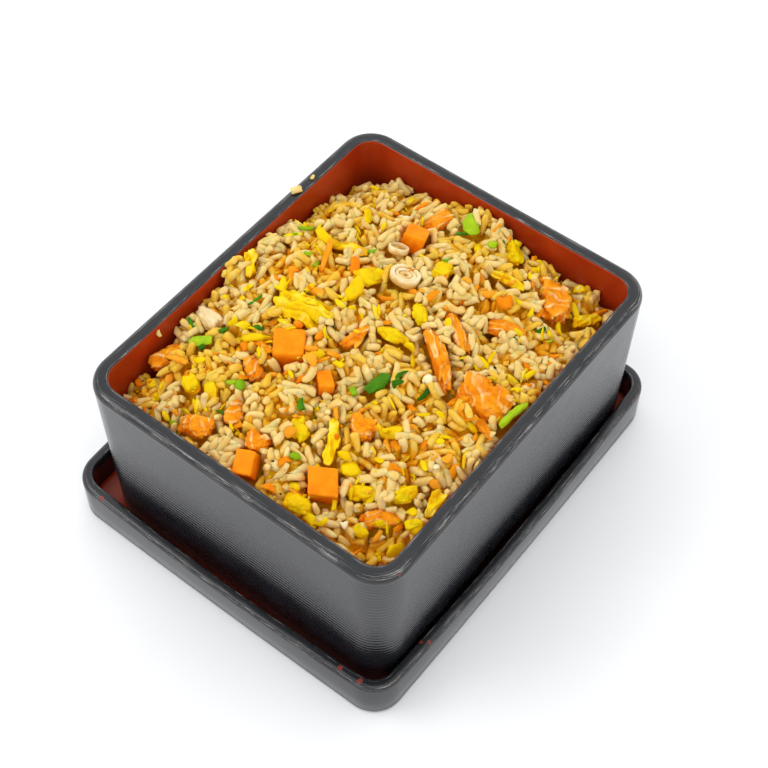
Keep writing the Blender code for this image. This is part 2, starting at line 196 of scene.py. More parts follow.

# %% [markdown]
# ## One helper for every piece
# A piece is a mesh with a finish. It rides on the only body, and the solids that it stands for are hidden.

# %% Pieces
BOX_SHIFT = Vector((-0.8, -3.1, 0.0)) * MM


def make_piece(name, mesh, finishes, nodes):
    """Turn a mesh into a smooth shaded piece that stands for some solids."""
    mesh.shade_smooth()
    for finish in finishes:
        mesh.materials.append(finish)
    made = bpy.data.objects.new(name, mesh)
    scene.collection.objects.link(made)
    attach(made, "root")
    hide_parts(*nodes)
    return made


def mesh_piece(name, bm, finishes, nodes, place=Matrix()):
    """Turn a bmesh into a piece."""
    bmesh.ops.recalc_face_normals(bm, faces=bm.faces[:])
    bm.transform(place)
    mesh = bpy.data.meshes.new(name)
    bm.to_mesh(mesh)
    bm.free()
    return make_piece(name, mesh, finishes, nodes)


# %% [markdown]
# ## Box and lid
# Both are shells of even section, so a row of level outlines is skinned from under the foot, over the rim and
# down to the floor inside. The turned lines on the box's wall are real steps in that row of outlines, because
# they break up its reflections; bump alone would leave the silhouette and the corner smooth. While skinning, a
# local map is kept: how far round the outline and how far along the section each point lies. The pale lines on
# the rim, partly wear and partly painted highlight, need it.

# %% Outlines and section
CM = 0.01
ARC_STEPS, SIDE_STEPS = 14, 12


def plan_ring(half_x, half_y, radius, bow=0.0):
    """Plan outline of a rounded rectangle whose sides may bow out."""
    signs = ((1, 1), (-1, 1), (-1, -1), (1, -1))
    centres = [Vector((x * (half_x - radius), y * (half_y - radius))) for x, y in signs]
    ring = []
    for quarter, centre in enumerate(centres):
        for step in range(ARC_STEPS + 1):
            angle = math.radians(90.0 * (quarter + step / ARC_STEPS))
            outward = Vector((math.cos(angle), math.sin(angle)))
            ring.append(centre + radius * outward)
        start = ring[-1]
        end = centres[(quarter + 1) % 4] + radius * outward
        for step in range(1, SIDE_STEPS):
            share = step / SIDE_STEPS
            ring.append(start.lerp(end, share) + bow * (1.0 - (2.0 * share - 1.0) ** 2) * outward)
    return ring


def quarter_round(inset, height, radius, side_in, steps=6):
    """Points of a rounded edge, from the wall to the face, as inset and height."""
    points = []
    for step in range(steps + 1):
        angle = 0.5 * math.pi * step / steps
        points.append((inset + side_in * radius * (1.0 - math.cos(angle)),
                       height - radius * (1.0 - math.sin(angle))))
    return points


def runs(points):
    """Distance along a row of points, from the first to each."""
    total = [0.0]
    for a, b in zip(points, points[1:]):
        total.append(total[-1] + math.dist(a, b))
    return total


def rim_edges(profile, top):
    """How far along the section the rim's flat face starts and ends, in centimetres."""
    level = [run for run, (inset, height) in zip(runs(profile), profile) if height > top - 0.01 * MM]
    return level[0] / CM, level[-1] / CM


def skin(profile, outline, first_red):
    """Skin outlines along a section; from ring first_red on the faces are red."""
    bm = bmesh.new()
    local = bm.loops.layers.uv.new("local")
    rings = [outline(inset, height) for inset, height in profile]
    around = runs([tuple(p) for p in rings[0]] + [tuple(rings[0][0])])
    along = runs(profile)
    loops = [[bm.verts.new((p.x, p.y, height)) for p in ring] for ring, (inset, height) in zip(rings, profile)]
    count = len(around) - 1
    for number, (lower, upper) in enumerate(zip(loops, loops[1:])):
        for index in range(count):
            after = (index + 1) % count
            face = bm.faces.new((lower[index], lower[after], upper[after], upper[index]))
            face.material_index = int(number >= first_red)
            corners = ((index, number), (index + 1, number), (index + 1, number + 1), (index, number + 1))
            for loop, (step, row) in zip(face.loops, corners):
                loop[local].uv = around[step] / CM, along[row] / CM
    bm.faces.new(loops[0])
    bm.faces.new(loops[-1]).material_index = 1
    return bm


# %% [markdown]
# The two sections are rows of points, each given as its inset from the outline at the rim and its height. The
# box's wall leans in a little towards the foot, and its turned lines are deepest near the foot.

# %% Sections
BOX_HALF_X, BOX_HALF_Y = 76.0 * MM, 63.5 * MM
BOX_BOTTOM, BOX_TOP = 3.6 * MM, 77.0 * MM
BOX_CORNER, BOX_RIM, BOX_FLOOR = 12.5 * MM, 5.5 * MM, 9.0 * MM
BOX_DRAFT = 0.0175
BOX_ROUND, LID_ROUND, INNER_ROUND = 2.3 * MM, 1.8 * MM, 0.9 * MM
RIB_PITCH, RIB_DEPTH = 1.9 * MM, 0.15 * MM
RIB_TOP, RIB_FOOT = 74.0 * MM, 5.5 * MM
RIB_SHAPE = (0.0, 0.25, 1.0, 0.25)
LID_HALF_X, LID_HALF_Y = 83.1 * MM, 70.4 * MM
LID_TOP, LID_CORNER, LID_RIM, LID_FLOOR = 17.7 * MM, 11.1 * MM, 4.1 * MM, 3.3 * MM
LEAST_CORNER = 3.0 * MM


def box_profile():
    """Section of the box's wall with its turned lines, and where the red begins."""
    foot = BOX_DRAFT * (BOX_TOP - BOX_BOTTOM)
    points = [(foot + 1.2 * MM, BOX_BOTTOM), (foot + 0.3 * MM, BOX_BOTTOM + 0.35 * MM),
              (foot, BOX_BOTTOM + 1.2 * MM)]
    count = int((RIB_TOP - RIB_FOOT) / RIB_PITCH)
    for rib in range(count):
        depth = RIB_DEPTH * (1.0 - 0.65 * rib / count)
        for part, share in enumerate(RIB_SHAPE):
            height = RIB_FOOT + (rib + part / 4.0) * RIB_PITCH
            points.append((BOX_DRAFT * (BOX_TOP - height) + depth * share, height))
    points += quarter_round(0.0, BOX_TOP, BOX_ROUND, 1.0)
    points += reversed(quarter_round(BOX_RIM, BOX_TOP, INNER_ROUND, -1.0, steps=4))
    first_red = len(points) - 3
    drop = BOX_DRAFT * (BOX_TOP - BOX_FLOOR)
    for share in (0.25, 0.5, 0.75):
        points.append((BOX_RIM + drop * share, BOX_TOP - (BOX_TOP - BOX_FLOOR - 3.0 * MM) * share))
    points += [(BOX_RIM + drop, BOX_FLOOR + 3.0 * MM), (BOX_RIM + drop + 0.9 * MM, BOX_FLOOR + 0.9 * MM),
               (BOX_RIM + drop + 3.0 * MM, BOX_FLOOR)]
    return points, first_red


def lid_profile():
    """Section of the upturned lid, and where the red begins."""
    points = [(1.2 * MM, 0.0), (0.35 * MM, 0.35 * MM), (0.0, 1.2 * MM), (0.0, 8.0 * MM)]
    points += quarter_round(0.0, LID_TOP, LID_ROUND, 1.0)
    points += reversed(quarter_round(LID_RIM, LID_TOP, INNER_ROUND, -1.0, steps=4))
    points += [(LID_RIM, LID_TOP - 7.0 * MM), (LID_RIM, LID_FLOOR + 1.2 * MM)]
    first_red = len(points) - 1
    points += [(LID_RIM + 0.35 * MM, LID_FLOOR + 0.35 * MM), (LID_RIM + 1.2 * MM, LID_FLOOR)]
    return points, first_red


def box_outline(inset, height):
    """Outline of the box; its sides are straight at every height."""
    return plan_ring(BOX_HALF_X - inset, BOX_HALF_Y - inset, max(BOX_CORNER - inset, LEAST_CORNER))


def lid_outline(inset, height):
    """Outline of the lid, whose sides bow out more towards the rim."""
    bow = (0.3 + 1.2 * height / LID_TOP) * MM
    return plan_ring(LID_HALF_X - inset, LID_HALF_Y - inset, max(LID_CORNER - inset, LEAST_CORNER), bow)


# %% [markdown]
# ## Lacquer
# Black lacquer is nearly all reflection, so its colour hardly matters and its roughness decides the look. Pale,
# dashed lines run along the rounded outer edge of the rim and along its inner edge. They are partly scuffs from
# years of stacking and partly a painted highlight where the rounding catches the light. Stacking has also knocked
# small chips off the edges, where the red coat beneath shows. The pale lines follow the local map, stretched along
# the edge;
# the chips are a few ragged spots at the places where the photo shows them.

# %% Lacquer finishes
# Pale grey of the lines along the rim's edges, partly scuffed lacquer and partly painted highlight; red of the
# chips.
WORN_AND_HIGHLIGHT_GREY, CHIP_RED = (0.42, 0.40, 0.37), (0.20, 0.022, 0.010)
FAR_AWAY = 9.0


def near(tree, value, middle, reach):
    """1 where a value is at its middle, falling to 0 at reach from it."""
    away = add_math(tree, "ABSOLUTE", add_math(tree, "SUBTRACT", value, middle))
    return add_math(tree, "SUBTRACT", 1.0, add_math(tree, "DIVIDE", away, reach), clamp=True)


def add_spots(tree, where, spots):
    """1 inside small ragged spots, each given by its place and radius in millimetres."""
    ragged = add_noise(tree, where, 1.6, 3.0)
    nearest = FAR_AWAY
    for *place, radius in spots:
        away = tree.nodes.new("ShaderNodeVectorMath")
        away.operation = "DISTANCE"
        plug(tree, away.inputs[0], where)
        plug(tree, away.inputs[1], Vector(place) * MM)
        nearest = add_math(tree, "MINIMUM", nearest, add_math(tree, "DIVIDE", away.outputs["Value"], radius * MM))
    edge = add_math(tree, "MULTIPLY", add_math(tree, "ADD", nearest, ragged), 0.4)
    return add_ramp(tree, edge, (0.52, 1.0), (0.58, 0.0))


def black_lacquer(name, edges, spots, scuff_and_highlight_strength):
    """Black resin with pale lines along the rim's edges, partly scuffs and partly painted highlight, chipped at a
    few spots.
    """
    finish, tree, shader, where, local = new_finish(name)
    section = add_node(tree, "ShaderNodeSeparateXYZ", Vector=local).outputs["Y"]
    stretched = add_node(tree, "ShaderNodeMapping", Vector=local, Scale=(0.9, 26.0, 1.0)).outputs["Vector"]
    dashes = add_node(tree, "ShaderNodeTexNoise", Vector=stretched, Scale=1.0, Detail=6.0, Roughness=0.75)
    # Pale dashed lines along the rim's rounded outer edge and its inner edge: partly scuffs, partly a painted
    # highlight.
    scuff_and_highlight_dashes = add_ramp(tree, dashes.outputs["Fac"], (0.53, 0.0), (0.62, 1.0))
    outer, inner = near(tree, section, edges[0] - 0.13, 0.17), near(tree, section, edges[1] + 0.02, 0.06)
    worn_and_highlight = add_math(tree, "MULTIPLY", scuff_and_highlight_dashes, add_math(tree, "MAXIMUM", outer, inner))
    worn_and_highlight = add_math(tree, "MULTIPLY", worn_and_highlight, scuff_and_highlight_strength, clamp=True)
    chip = add_spots(tree, where, spots)
    blotch = add_noise(tree, where, 11.0, 5.0, 0.6)
    coat = add_ramp(tree, blotch, (0.3, (0.006, 0.007, 0.009)), (0.75, (0.013, 0.014, 0.017)))
    coat = add_mix(tree, chip, add_mix(tree, worn_and_highlight, coat, WORN_AND_HIGHLIGHT_GREY), CHIP_RED)
    tree.links.new(coat, shader.inputs["Base Color"])
    dull = add_ramp(tree, blotch, (0.3, 0.13), (0.8, 0.24))
    dull = add_math(tree, "ADD", dull, add_math(tree, "MULTIPLY", worn_and_highlight, 0.3))
    tree.links.new(add_math(tree, "ADD", dull, add_math(tree, "MULTIPLY", chip, 0.25)), shader.inputs["Roughness"])
    set_shader(shader, IOR=1.5)
    relief = add_math(tree, "SUBTRACT", add_noise(tree, where, 1.1, 4.0, 0.7), add_math(tree, "ADD", worn_and_highlight, chip))
    add_bump(tree, shader, relief, 0.025)
    return finish


def red_lacquer():
    """Brick red resin, softer in its gloss than the black."""
    finish, tree, shader, where, local = new_finish("red_lacquer")
    tone = add_ramp(tree, add_noise(tree, where, 16.0, 4.0, 0.55), (0.3, (0.30, 0.024, 0.003)),
                    (0.75, (0.42, 0.038, 0.005)))
    tree.links.new(tone, shader.inputs["Base Color"])
    set_shader(shader, Roughness=0.28, IOR=1.38)
    add_bump(tree, shader, add_noise(tree, where, 1.4, 3.0, 0.6), 0.02)
    return finish


BOX_CHIPS = ((-72.6, -61.1, 75.4, 0.9), (-67.9, -65.1, 75.6, 0.8), (-76.4, -58.5, 75.8, 0.6))
LID_CHIPS = (
    (-82.4, 55.0, 17.7, 1.1), (-78.8, -30.2, 17.6, 1.0), (-79.7, -32.6, 17.4, 0.8), (-81.3, -52.4, 17.4, 1.1),
    (-80.9, -60.5, 17.2, 1.2), (-57.4, -67.7, 17.6, 0.8), (-55.7, -69.8, 17.4, 0.8), (70.2, -70.4, 17.4, 0.8),
)
box_section, box_red = box_profile()
lid_section, lid_red = lid_profile()
BOX_BLACK = black_lacquer("black_lacquer_box", rim_edges(box_section, BOX_TOP), BOX_CHIPS, 1.0)
LID_BLACK = black_lacquer("black_lacquer_lid", rim_edges(lid_section, LID_TOP), LID_CHIPS, 0.7)
RED = red_lacquer()

# %% [markdown]
# Now both are skinned and finished. The box stands in the lid, a little off its middle.

# %% Box and lid
box = mesh_piece("lacquer_box", skin(box_section, box_outline, box_red), (BOX_BLACK, RED), ("box",),
                 Matrix.Translation(BOX_SHIFT))
lid = mesh_piece("lacquer_lid", skin(lid_section, lid_outline, lid_red), (LID_BLACK, RED), ("lid",))
print("box:", len(box_section), "outlines,", len(box.data.polygons), "faces; lid:", len(lid.data.polygons), "faces")

# %% [markdown]
# ## The lie of the heap
# The heap has a crown in the middle, falls towards the walls and furthest into the corners, and leans on the
# wall in some places where it leaves a hollow in others. All of it is one function of place, so that toppings
# and grains can ask how high the rice is under them and which way it slopes.

# %% Height of the heap
CROWN, FALL_X, FALL_Y, FALL_CORNER = 78.2, 9.0, 7.0, 6.0
HEAP_HALF_X, HEAP_HALF_Y = 70.5, 58.0
HEAP_DIPS = (
    (34, 56, 5, 9), (54, 54, 3, 9), (70, 50, 6, 8), (70, 31, 3, 10), (70, -25, 5, 11), (66, -50, 2, 10),
    (-64, -50, 4, 12), (-2, 57, -3, 14), (70, 4, -2, 10),
)


def heap_height(x, y):
    """Height of the heap, all in millimetres from the box's middle."""
    across, along = abs(x) / HEAP_HALF_X, abs(y) / HEAP_HALF_Y
    height = CROWN - FALL_X * across ** 2.2 - FALL_Y * along ** 2.2 - FALL_CORNER * (across * along) ** 2
    for dip_x, dip_y, depth, reach in HEAP_DIPS:
        height -= depth * math.exp(-((x - dip_x) ** 2 + (y - dip_y) ** 2) / reach ** 2)
    return height + 1.1 * noise.noise(Vector((x, y, 0.0)) / 9.0)


def heap_normal(x, y):
    """Direction that the heap faces."""
    slope_x = (heap_height(x + 2.0, y) - heap_height(x - 2.0, y)) / 4.0
    slope_y = (heap_height(x, y + 2.0) - heap_height(x, y - 2.0)) / 4.0
    return Vector((-slope_x, -slope_y, 1.0)).normalized()


def lie_on_heap(x, y, turn, rise, tip=0.0):
    """Placing matrix, in metres, for a piece laid along the slope."""
    slope = Vector((0.0, 0.0, 1.0)).rotation_difference(heap_normal(x, y))
    turned = Quaternion((0.0, 0.0, 1.0), math.radians(turn))
    tipped = Quaternion((0.0, 1.0, 0.0), math.radians(tip))
    spot = Vector((x, y, heap_height(x, y) + rise)) * MM + BOX_SHIFT
    return Matrix.Translation(spot) @ (slope @ turned @ tipped).to_matrix().to_4x4() @ Matrix.Scale(MM, 4)


print("crown", round(heap_height(0, 0), 1), "mm, corner", round(heap_height(66, 53), 1), "mm")

# %% [markdown]
# ## Moist food finishes
# Cooked food lets light in a little way and carries a film of oil. Subsurface scattering gives the first, a low
# roughness the second. Colour wanders within a piece, and from one piece to the next, which the shader reads
# from the random number that each separate island of a mesh has. The local map tells the rest. Its second
# number says how high a point stands, from 0 to 1, and low points take a darker, more saturated colour: partly
# the oil and stock they are soaked with, partly painted shade in creases and on the undersides of pieces. Its
# first one counts the muscle layers of fish, so the pale lines of fat fall exactly on the steps; on the heap's
# core it is the tone of the grain that lies there, and patches of the core wear a film of egg.

# %% Food finishes
FOOD_IOR = 1.12
FAT_STOPS = ((0.0, 0.9), (0.10, 0.75), (0.24, 0.0), (0.90, 0.0), (1.0, 0.9))
# How strongly low points take the soaked colour: partly oil and stock, partly painted shade.
WET_AND_SHADE_STOPS = ((0.25, 1.0), (0.50, 0.85), (0.72, 0.35), (0.92, 0.0))
EGG_FILM = (0.84, 0.50, 0.004)


def food_finish(name, stops, size, scatter, radius, rough, relief=0.05, relief_size=0.8, island=0.5, lines=None,
                soaked_and_shaded=None, toned=False):
    """A moist, slightly clear finish whose colour runs through stops."""
    finish, tree, shader, where, local = new_finish(name)
    if lines or soaked_and_shaded or toned:
        layer, raised = add_node(tree, "ShaderNodeSeparateXYZ", Vector=local).outputs[:2]
    wander = add_noise(tree, where, size, 3.0, 0.55)
    wander = add_math(tree, "MULTIPLY", add_math(tree, "SUBTRACT", wander, 0.28), 2.2, clamp=True)
    own = layer if toned else tree.nodes.new("ShaderNodeNewGeometry").outputs["Random Per Island"]
    mixed = add_math(tree, "ADD", add_math(tree, "MULTIPLY", wander, 1.0 - island),
                     add_math(tree, "MULTIPLY", own, island))
    tone = add_ramp(tree, mixed, *stops)
    if lines:
        fat = add_ramp(tree, add_math(tree, "FRACT", layer), *FAT_STOPS)
        patchy = add_ramp(tree, add_noise(tree, where, 5.0, 2.0), (0.40, 0.15), (0.58, 1.0))
        tone = add_mix(tree, add_math(tree, "MULTIPLY", fat, patchy), tone, lines)
    # Low points take a darker, amber colour: partly oil and stock, partly painted shade.
    if soaked_and_shaded:
        uneven = add_math(tree, "MULTIPLY", add_math(tree, "SUBTRACT", wander, 0.42), 0.6)
        raised = add_math(tree, "ADD", raised, uneven)
        tone = add_mix(tree, add_ramp(tree, raised, *WET_AND_SHADE_STOPS), tone, soaked_and_shaded)
    if toned:
        film = add_ramp(tree, add_noise(tree, where, 9.0, 2.0, 0.5), (0.52, 0.0), (0.60, 0.85))
        low = add_ramp(tree, raised, (0.45, 1.0), (0.80, 0.15))
        tone = add_mix(tree, add_math(tree, "MULTIPLY", film, low), tone, EGG_FILM)
    tree.links.new(tone, shader.inputs["Base Color"])
    set_shader(shader, Roughness=rough, IOR=FOOD_IOR, Subsurface_Weight=scatter, Subsurface_Radius=radius,
               Subsurface_Scale=1.0 * MM)
    add_bump(tree, shader, add_noise(tree, where, relief_size, 3.0, 0.6), relief)
    return finish


# %% [markdown]
# The rice has four finishes: one for the core and one for each tone of grain. After the stops come the size of
# the colour's patches in millimetres, how much light goes in and how far by colour, and the roughness.

# %% Colours of the food
CLEAR, DENSE = (1.4, 0.8, 0.3), (1.6, 0.8, 0.3)
RICE_CORE = food_finish(
    "rice_core", ((0.05, (0.74, 0.41, 0.03)), (0.3, (0.78, 0.49, 0.08)), (0.55, (0.80, 0.56, 0.16)),
                  (0.8, (0.81, 0.61, 0.23)), (1.0, (0.82, 0.65, 0.30))),
    3.0, 0.75, (1.8, 1.2, 0.35), 0.22, 0.12, 0.9, island=0.75, soaked_and_shaded=(0.77, 0.34, 0.004), toned=True)
RICE_PALE = food_finish(
    "rice_pale", ((0.05, (0.76, 0.49, 0.11)), (0.35, (0.79, 0.56, 0.18)), (0.7, (0.81, 0.62, 0.25)),
                  (0.95, (0.83, 0.68, 0.34))),
    3.0, 0.48, CLEAR, 0.2, island=0.3, soaked_and_shaded=(0.79, 0.41, 0.012))
RICE_GOLD = food_finish(
    "rice_gold", ((0.1, (0.78, 0.43, 0.02)), (0.5, (0.80, 0.51, 0.06)), (0.9, (0.82, 0.59, 0.15))),
    3.0, 0.42, CLEAR, 0.2, island=0.3, soaked_and_shaded=(0.77, 0.34, 0.006))
RICE_AMBER = food_finish(
    "rice_amber", ((0.1, (0.72, 0.31, 0.005)), (0.5, (0.77, 0.40, 0.015)), (0.9, (0.81, 0.50, 0.06))),
    3.0, 0.42, CLEAR, 0.2, island=0.5, soaked_and_shaded=(0.68, 0.23, 0.002))
CARROT = food_finish(
    "carrot", ((0.1, (0.86, 0.20, 0.003)), (0.6, (0.92, 0.31, 0.008)), (0.9, (0.94, 0.41, 0.03))),
    4.0, 0.3, DENSE, 0.24, soaked_and_shaded=(0.78, 0.15, 0.002))
SALMON = food_finish(
    "salmon", ((0.1, (0.74, 0.19, 0.002)), (0.45, (0.86, 0.30, 0.006)), (0.9, (0.92, 0.45, 0.04))),
    4.0, 0.3, DENSE, 0.28, 0.10, lines=(0.95, 0.66, 0.28), soaked_and_shaded=(0.68, 0.16, 0.002))
EGG = food_finish(
    "egg", ((0.02, (0.76, 0.42, 0.003)), (0.22, (0.84, 0.54, 0.003)), (0.7, (0.88, 0.64, 0.005)),
            (0.97, (0.90, 0.74, 0.13))),
    4.0, 0.3, (1.4, 1.0, 0.3), 0.22, 0.06, soaked_and_shaded=(0.76, 0.38, 0.001))
GREEN = food_finish(
    "green_onion_bright", ((0.1, (0.12, 0.33, 0.006)), (0.9, (0.42, 0.58, 0.015))), 5.0, 0.2, (1.0, 1.2, 0.3), 0.2)
GREEN_DARK = food_finish(
    "green_onion_dark", ((0.1, (0.012, 0.09, 0.005)), (0.9, (0.08, 0.25, 0.010))), 4.0, 0.1, (0.6, 1.0, 0.3), 0.2)
ONION = food_finish(
    "onion", ((0.1, (0.76, 0.55, 0.26)), (0.9, (0.92, 0.79, 0.50))), 4.0, 0.4, CLEAR, 0.2, soaked_and_shaded=(0.70, 0.42, 0.10))
CURD_WHITE = food_finish(
    "egg_white", ((0.1, (0.88, 0.74, 0.38)), (0.9, (0.95, 0.88, 0.64))), 3.0, 0.4, CLEAR, 0.3)
CHAR = food_finish("char", ((0.1, (0.012, 0.010, 0.006)), (0.9, (0.07, 0.05, 0.02))), 2.0, 0.0, CLEAR, 0.4)

# %% [markdown]
# ## Toppings
# Each kind of topping has its own way of being made, and all are made about the size of their solid, so that they
# keep its form. All chance comes from one seeded generator, so every run gives the same food.

# %% Chance and size
dice = np.random.default_rng(5)


def seed_vector():
    """A random place in the noise, so that no two pieces share it."""
    return Vector(dice.uniform(0.0, 60.0, 3))


def drift_at(point):
    """A smooth vector field, made of the same noise read in three places."""
    return Vector([noise.noise(point + Vector((17.3, -9.1, 5.7)) * k) for k in (1.0, 2.0, 3.0)])


def random_axis():
    """A direction of unit length."""
    return Vector(dice.normal(0.0, 1.0, 3)).normalized()


def fit(bm, length, width, height):
    """Scale and centre a shape to a given size."""
    for axis, size in enumerate((length, width, height)):
        low = min(vert.co[axis] for vert in bm.verts)
        high = max(vert.co[axis] for vert in bm.verts)
        for vert in bm.verts:
            vert.co[axis] = (vert.co[axis] - 0.5 * (low + high)) * size / (high - low)
    return bm


# %% [markdown]
# Carrot is diced, so it starts as a cube whose corners are barely rounded, with faces sunk a little in drying.

# %% Diced carrot
DICED_CUTS, DICED_CORNER, DICED_ROUGH = 12, 0.6, 0.22


def grid_cube(cuts):
    """A cube of unit size with a grid of faces on each side."""
    bm = bmesh.new()
    corners = {}
    for side in range(6):
        for square in range(cuts * cuts):
            ring = []
            for a, b in ((0, 0), (1, 0), (1, 1), (0, 1)):
                across, along = 2 * (square // cuts + a) - cuts, 2 * (square % cuts + b) - cuts
                flat = (across, along, cuts if side % 2 else -cuts)
                key = flat[side // 2:] + flat[:side // 2]
                if key not in corners:
                    corners[key] = bm.verts.new(Vector(key) / (2.0 * cuts))
                ring.append(corners[key])
            bm.faces.new(ring)
    return bm


def diced(length, width, height):
    """A cube with small round corners, sunk faces and uneven cuts."""
    bm = grid_cube(DICED_CUTS)
    half = Vector((length, width, height)) / 2.0
    skew = dice.uniform(-0.13, 0.13, 6)
    seed = seed_vector()
    for vert in bm.verts:
        unit = vert.co * 2.0
        point = Vector([math.copysign(abs(u) ** 0.8, u) * h for u, h in zip(unit, half)])
        inner = Vector([max(-h + DICED_CORNER, min(h - DICED_CORNER, p)) for p, h in zip(point, half)])
        away = point - inner
        if away.length > 1e-6:
            point = inner + away.normalized() * DICED_CORNER
        sink = (1.0 - unit.x ** 2) * (1.0 - unit.y ** 2) + (1.0 - unit.y ** 2) * (1.0 - unit.z ** 2)
        point *= 1.0 - 0.035 * sink
        point.x += skew[0] * point.y + skew[1] * point.z
        point.y += skew[2] * point.z
        point += DICED_ROUGH * drift_at(point / 3.5 + seed) + 0.3 * DICED_ROUGH * drift_at(point / 1.1 + seed)
        vert.co = point
    return bm


# %% [markdown]
# Scrambled egg tears into blunt lumps that have grown together. A lump is a ball cut by a few flats, softened
# and creased.

# %% Lumps and curds
CURD_SIZES = (1.0, 0.72, 0.6, 0.5, 0.42)
LUMP_ROUGH = 0.16


def lump(flats, softness, rough, detail=5):
    """A ball cut by a few flats and softened, with shallow creases."""
    bm = bmesh.new()
    bmesh.ops.create_icosphere(bm, subdivisions=detail, radius=1.0)
    seed = seed_vector()
    ways = [random_axis() for _ in range(flats)]
    ways += [Vector(way) for way in ((1, 0, 0), (-1, 0, 0), (0, 1, 0), (0, -1, 0), (0, 0, 1), (0, 0, -1))]
    depths = dice.uniform(0.65, 1.0, len(ways))
    for vert in bm.verts:
        unit = vert.co.normalized()
        total = sum(max(0.0, unit.dot(way) / depth) ** softness for way, depth in zip(ways, depths))
        crease = max(0.0, 1.0 - 7.0 * abs(noise.noise(1.3 * unit + 2.0 * seed)))
        ripple = noise.noise(2.4 * unit + seed) + 0.45 * noise.noise(6.0 * unit + seed)
        vert.co = unit * total ** (-1.0 / softness) * (1.0 + rough * (ripple - 0.5 * crease))
    return bm


def join_shapes(shapes):
    """Put several shapes, each with its own offset matrix, in one."""
    whole = bmesh.new()
    for shape, offset in shapes:
        shape.transform(offset)
        scrap = bpy.data.meshes.new("scrap")
        shape.to_mesh(scrap)
        shape.free()
        whole.from_mesh(scrap)
        bpy.data.meshes.remove(scrap)
    return whole


def curd(length, width, height):
    """A torn piece of scrambled egg: soft lumps of several sizes, set and grown together."""
    shapes = []
    for size in CURD_SIZES:
        angle = dice.uniform(0.0, math.tau)
        away = 1.0 - 0.75 * size if shapes else 0.0
        offset = Vector((math.cos(angle) * away, math.sin(angle) * away, dice.uniform(-0.25, 0.3) * away))
        turned = Quaternion(random_axis(), dice.uniform(0.0, math.tau)).to_matrix().to_4x4()
        grown = fit(lump(5, 5.0, LUMP_ROUGH, 4), 2.0 * size, 1.7 * size, 1.35 * size)
        shapes.append((grown, Matrix.Translation(offset) @ turned))
    return fit(join_shapes(shapes), length, width, height)


# %% [markdown]
# Salmon is such a lump too, but its surface steps from one muscle layer to the next.

# %% Fish


def flesh(length, width, height, heading, layers, bend):
    """A piece of fish that steps from layer to layer along a heading; the local map counts the layers."""
    bm = fit(lump(9, 6.0, 0.20), length, width, height)
    seed = seed_vector()
    way = Vector((math.cos(math.radians(heading)), math.sin(math.radians(heading)), 0.45))
    period = (length * abs(way.x) + width * abs(way.y)) / layers
    local = bm.loops.layers.uv.verify()
    bm.normal_update()
    count = {}
    for vert in bm.verts:
        count[vert.index] = vert.co.dot(way) / period + 0.8 * noise.noise(vert.co / 5.0 + seed)
        share = count[vert.index] % 1.0
        across = Vector((vert.co.x * way.y - vert.co.y * way.x, 0.25 * vert.co.dot(way), vert.co.z))
        fibre = noise.noise(across * 1.3 + seed)
        vert.co += vert.normal * (0.09 * height * (0.5 - share) + 0.05 * height * fibre)
        vert.co.y += bend * (2.0 * vert.co.x / length) ** 2
    for face in bm.faces:
        for loop in face.loops:
            loop[local].uv = count[loop.vert.index], 0.0
    return bm


# %% [markdown]
# Thin egg is a sheet in folds with torn edges, and green onion a strip curled across its width. The larger
# curl, the rounder the strip.

# %% Sheets
SHEET_ROWS = (60, 30)


def sheet(length, width, thick, fold_height, torn=0.35, curl=0.0):
    """A thin sheet with torn edges, gathered into uneven folds along its length, and curled across."""
    bm = bmesh.new()
    bmesh.ops.create_grid(bm, x_segments=SHEET_ROWS[0], y_segments=SHEET_ROWS[1], size=0.5)
    seed = seed_vector()
    for vert in bm.verts:
        along, across = 2.0 * vert.co.x, 2.0 * vert.co.y
        x = along * math.sqrt(max(0.0, 1.0 - 0.42 * across ** 2))
        y = across * math.sqrt(max(0.0, 1.0 - 0.42 * along ** 2))
        edge = max(abs(along), abs(across)) ** 3
        flat = Vector((0.5 * length * x, 0.5 * width * y, 0.0))
        drift = noise.noise(flat / 7.0 + seed)
        ragged = 1.0 + torn * edge * (noise.noise(flat / 4.0 + 2.0 * seed) + 0.7 * noise.noise(flat / 1.5 + seed))
        warped = Vector((flat.x / 7.0, (flat.y + 3.0 * drift) / 2.2, 0.0)) + 3.0 * seed
        ridge = 1.0 - 2.2 * abs(noise.noise(warped)) - 0.5 * abs(noise.noise(2.3 * warped))
        height = fold_height * ridge + 0.5 * fold_height * drift - curl * y ** 2 - 0.5 * fold_height * edge
        vert.co = Vector((flat.x * ragged + 0.6 * drift, flat.y * ragged + 1.2 * drift, height))
    under = bmesh.ops.extrude_face_region(bm, geom=bm.faces[:])["geom"]
    for item in under:
        if isinstance(item, bmesh.types.BMVert):
            item.co.z -= thick * (0.8 + 0.5 * noise.noise(item.co / 3.0 + seed))
    bmesh.ops.smooth_vert(bm, verts=bm.verts[:], factor=0.5, use_axis_x=True, use_axis_y=True, use_axis_z=True)
    return bm


# %% [markdown]
# A slice of onion is a few rings of a tube, one inside the other.

# %% Onion rings
TUBE_SIDES = 40
STALK_RINGS = ((1.0, 0.26, 1.0), (0.70, 0.24, 0.90), (0.42, 0.28, 0.80))


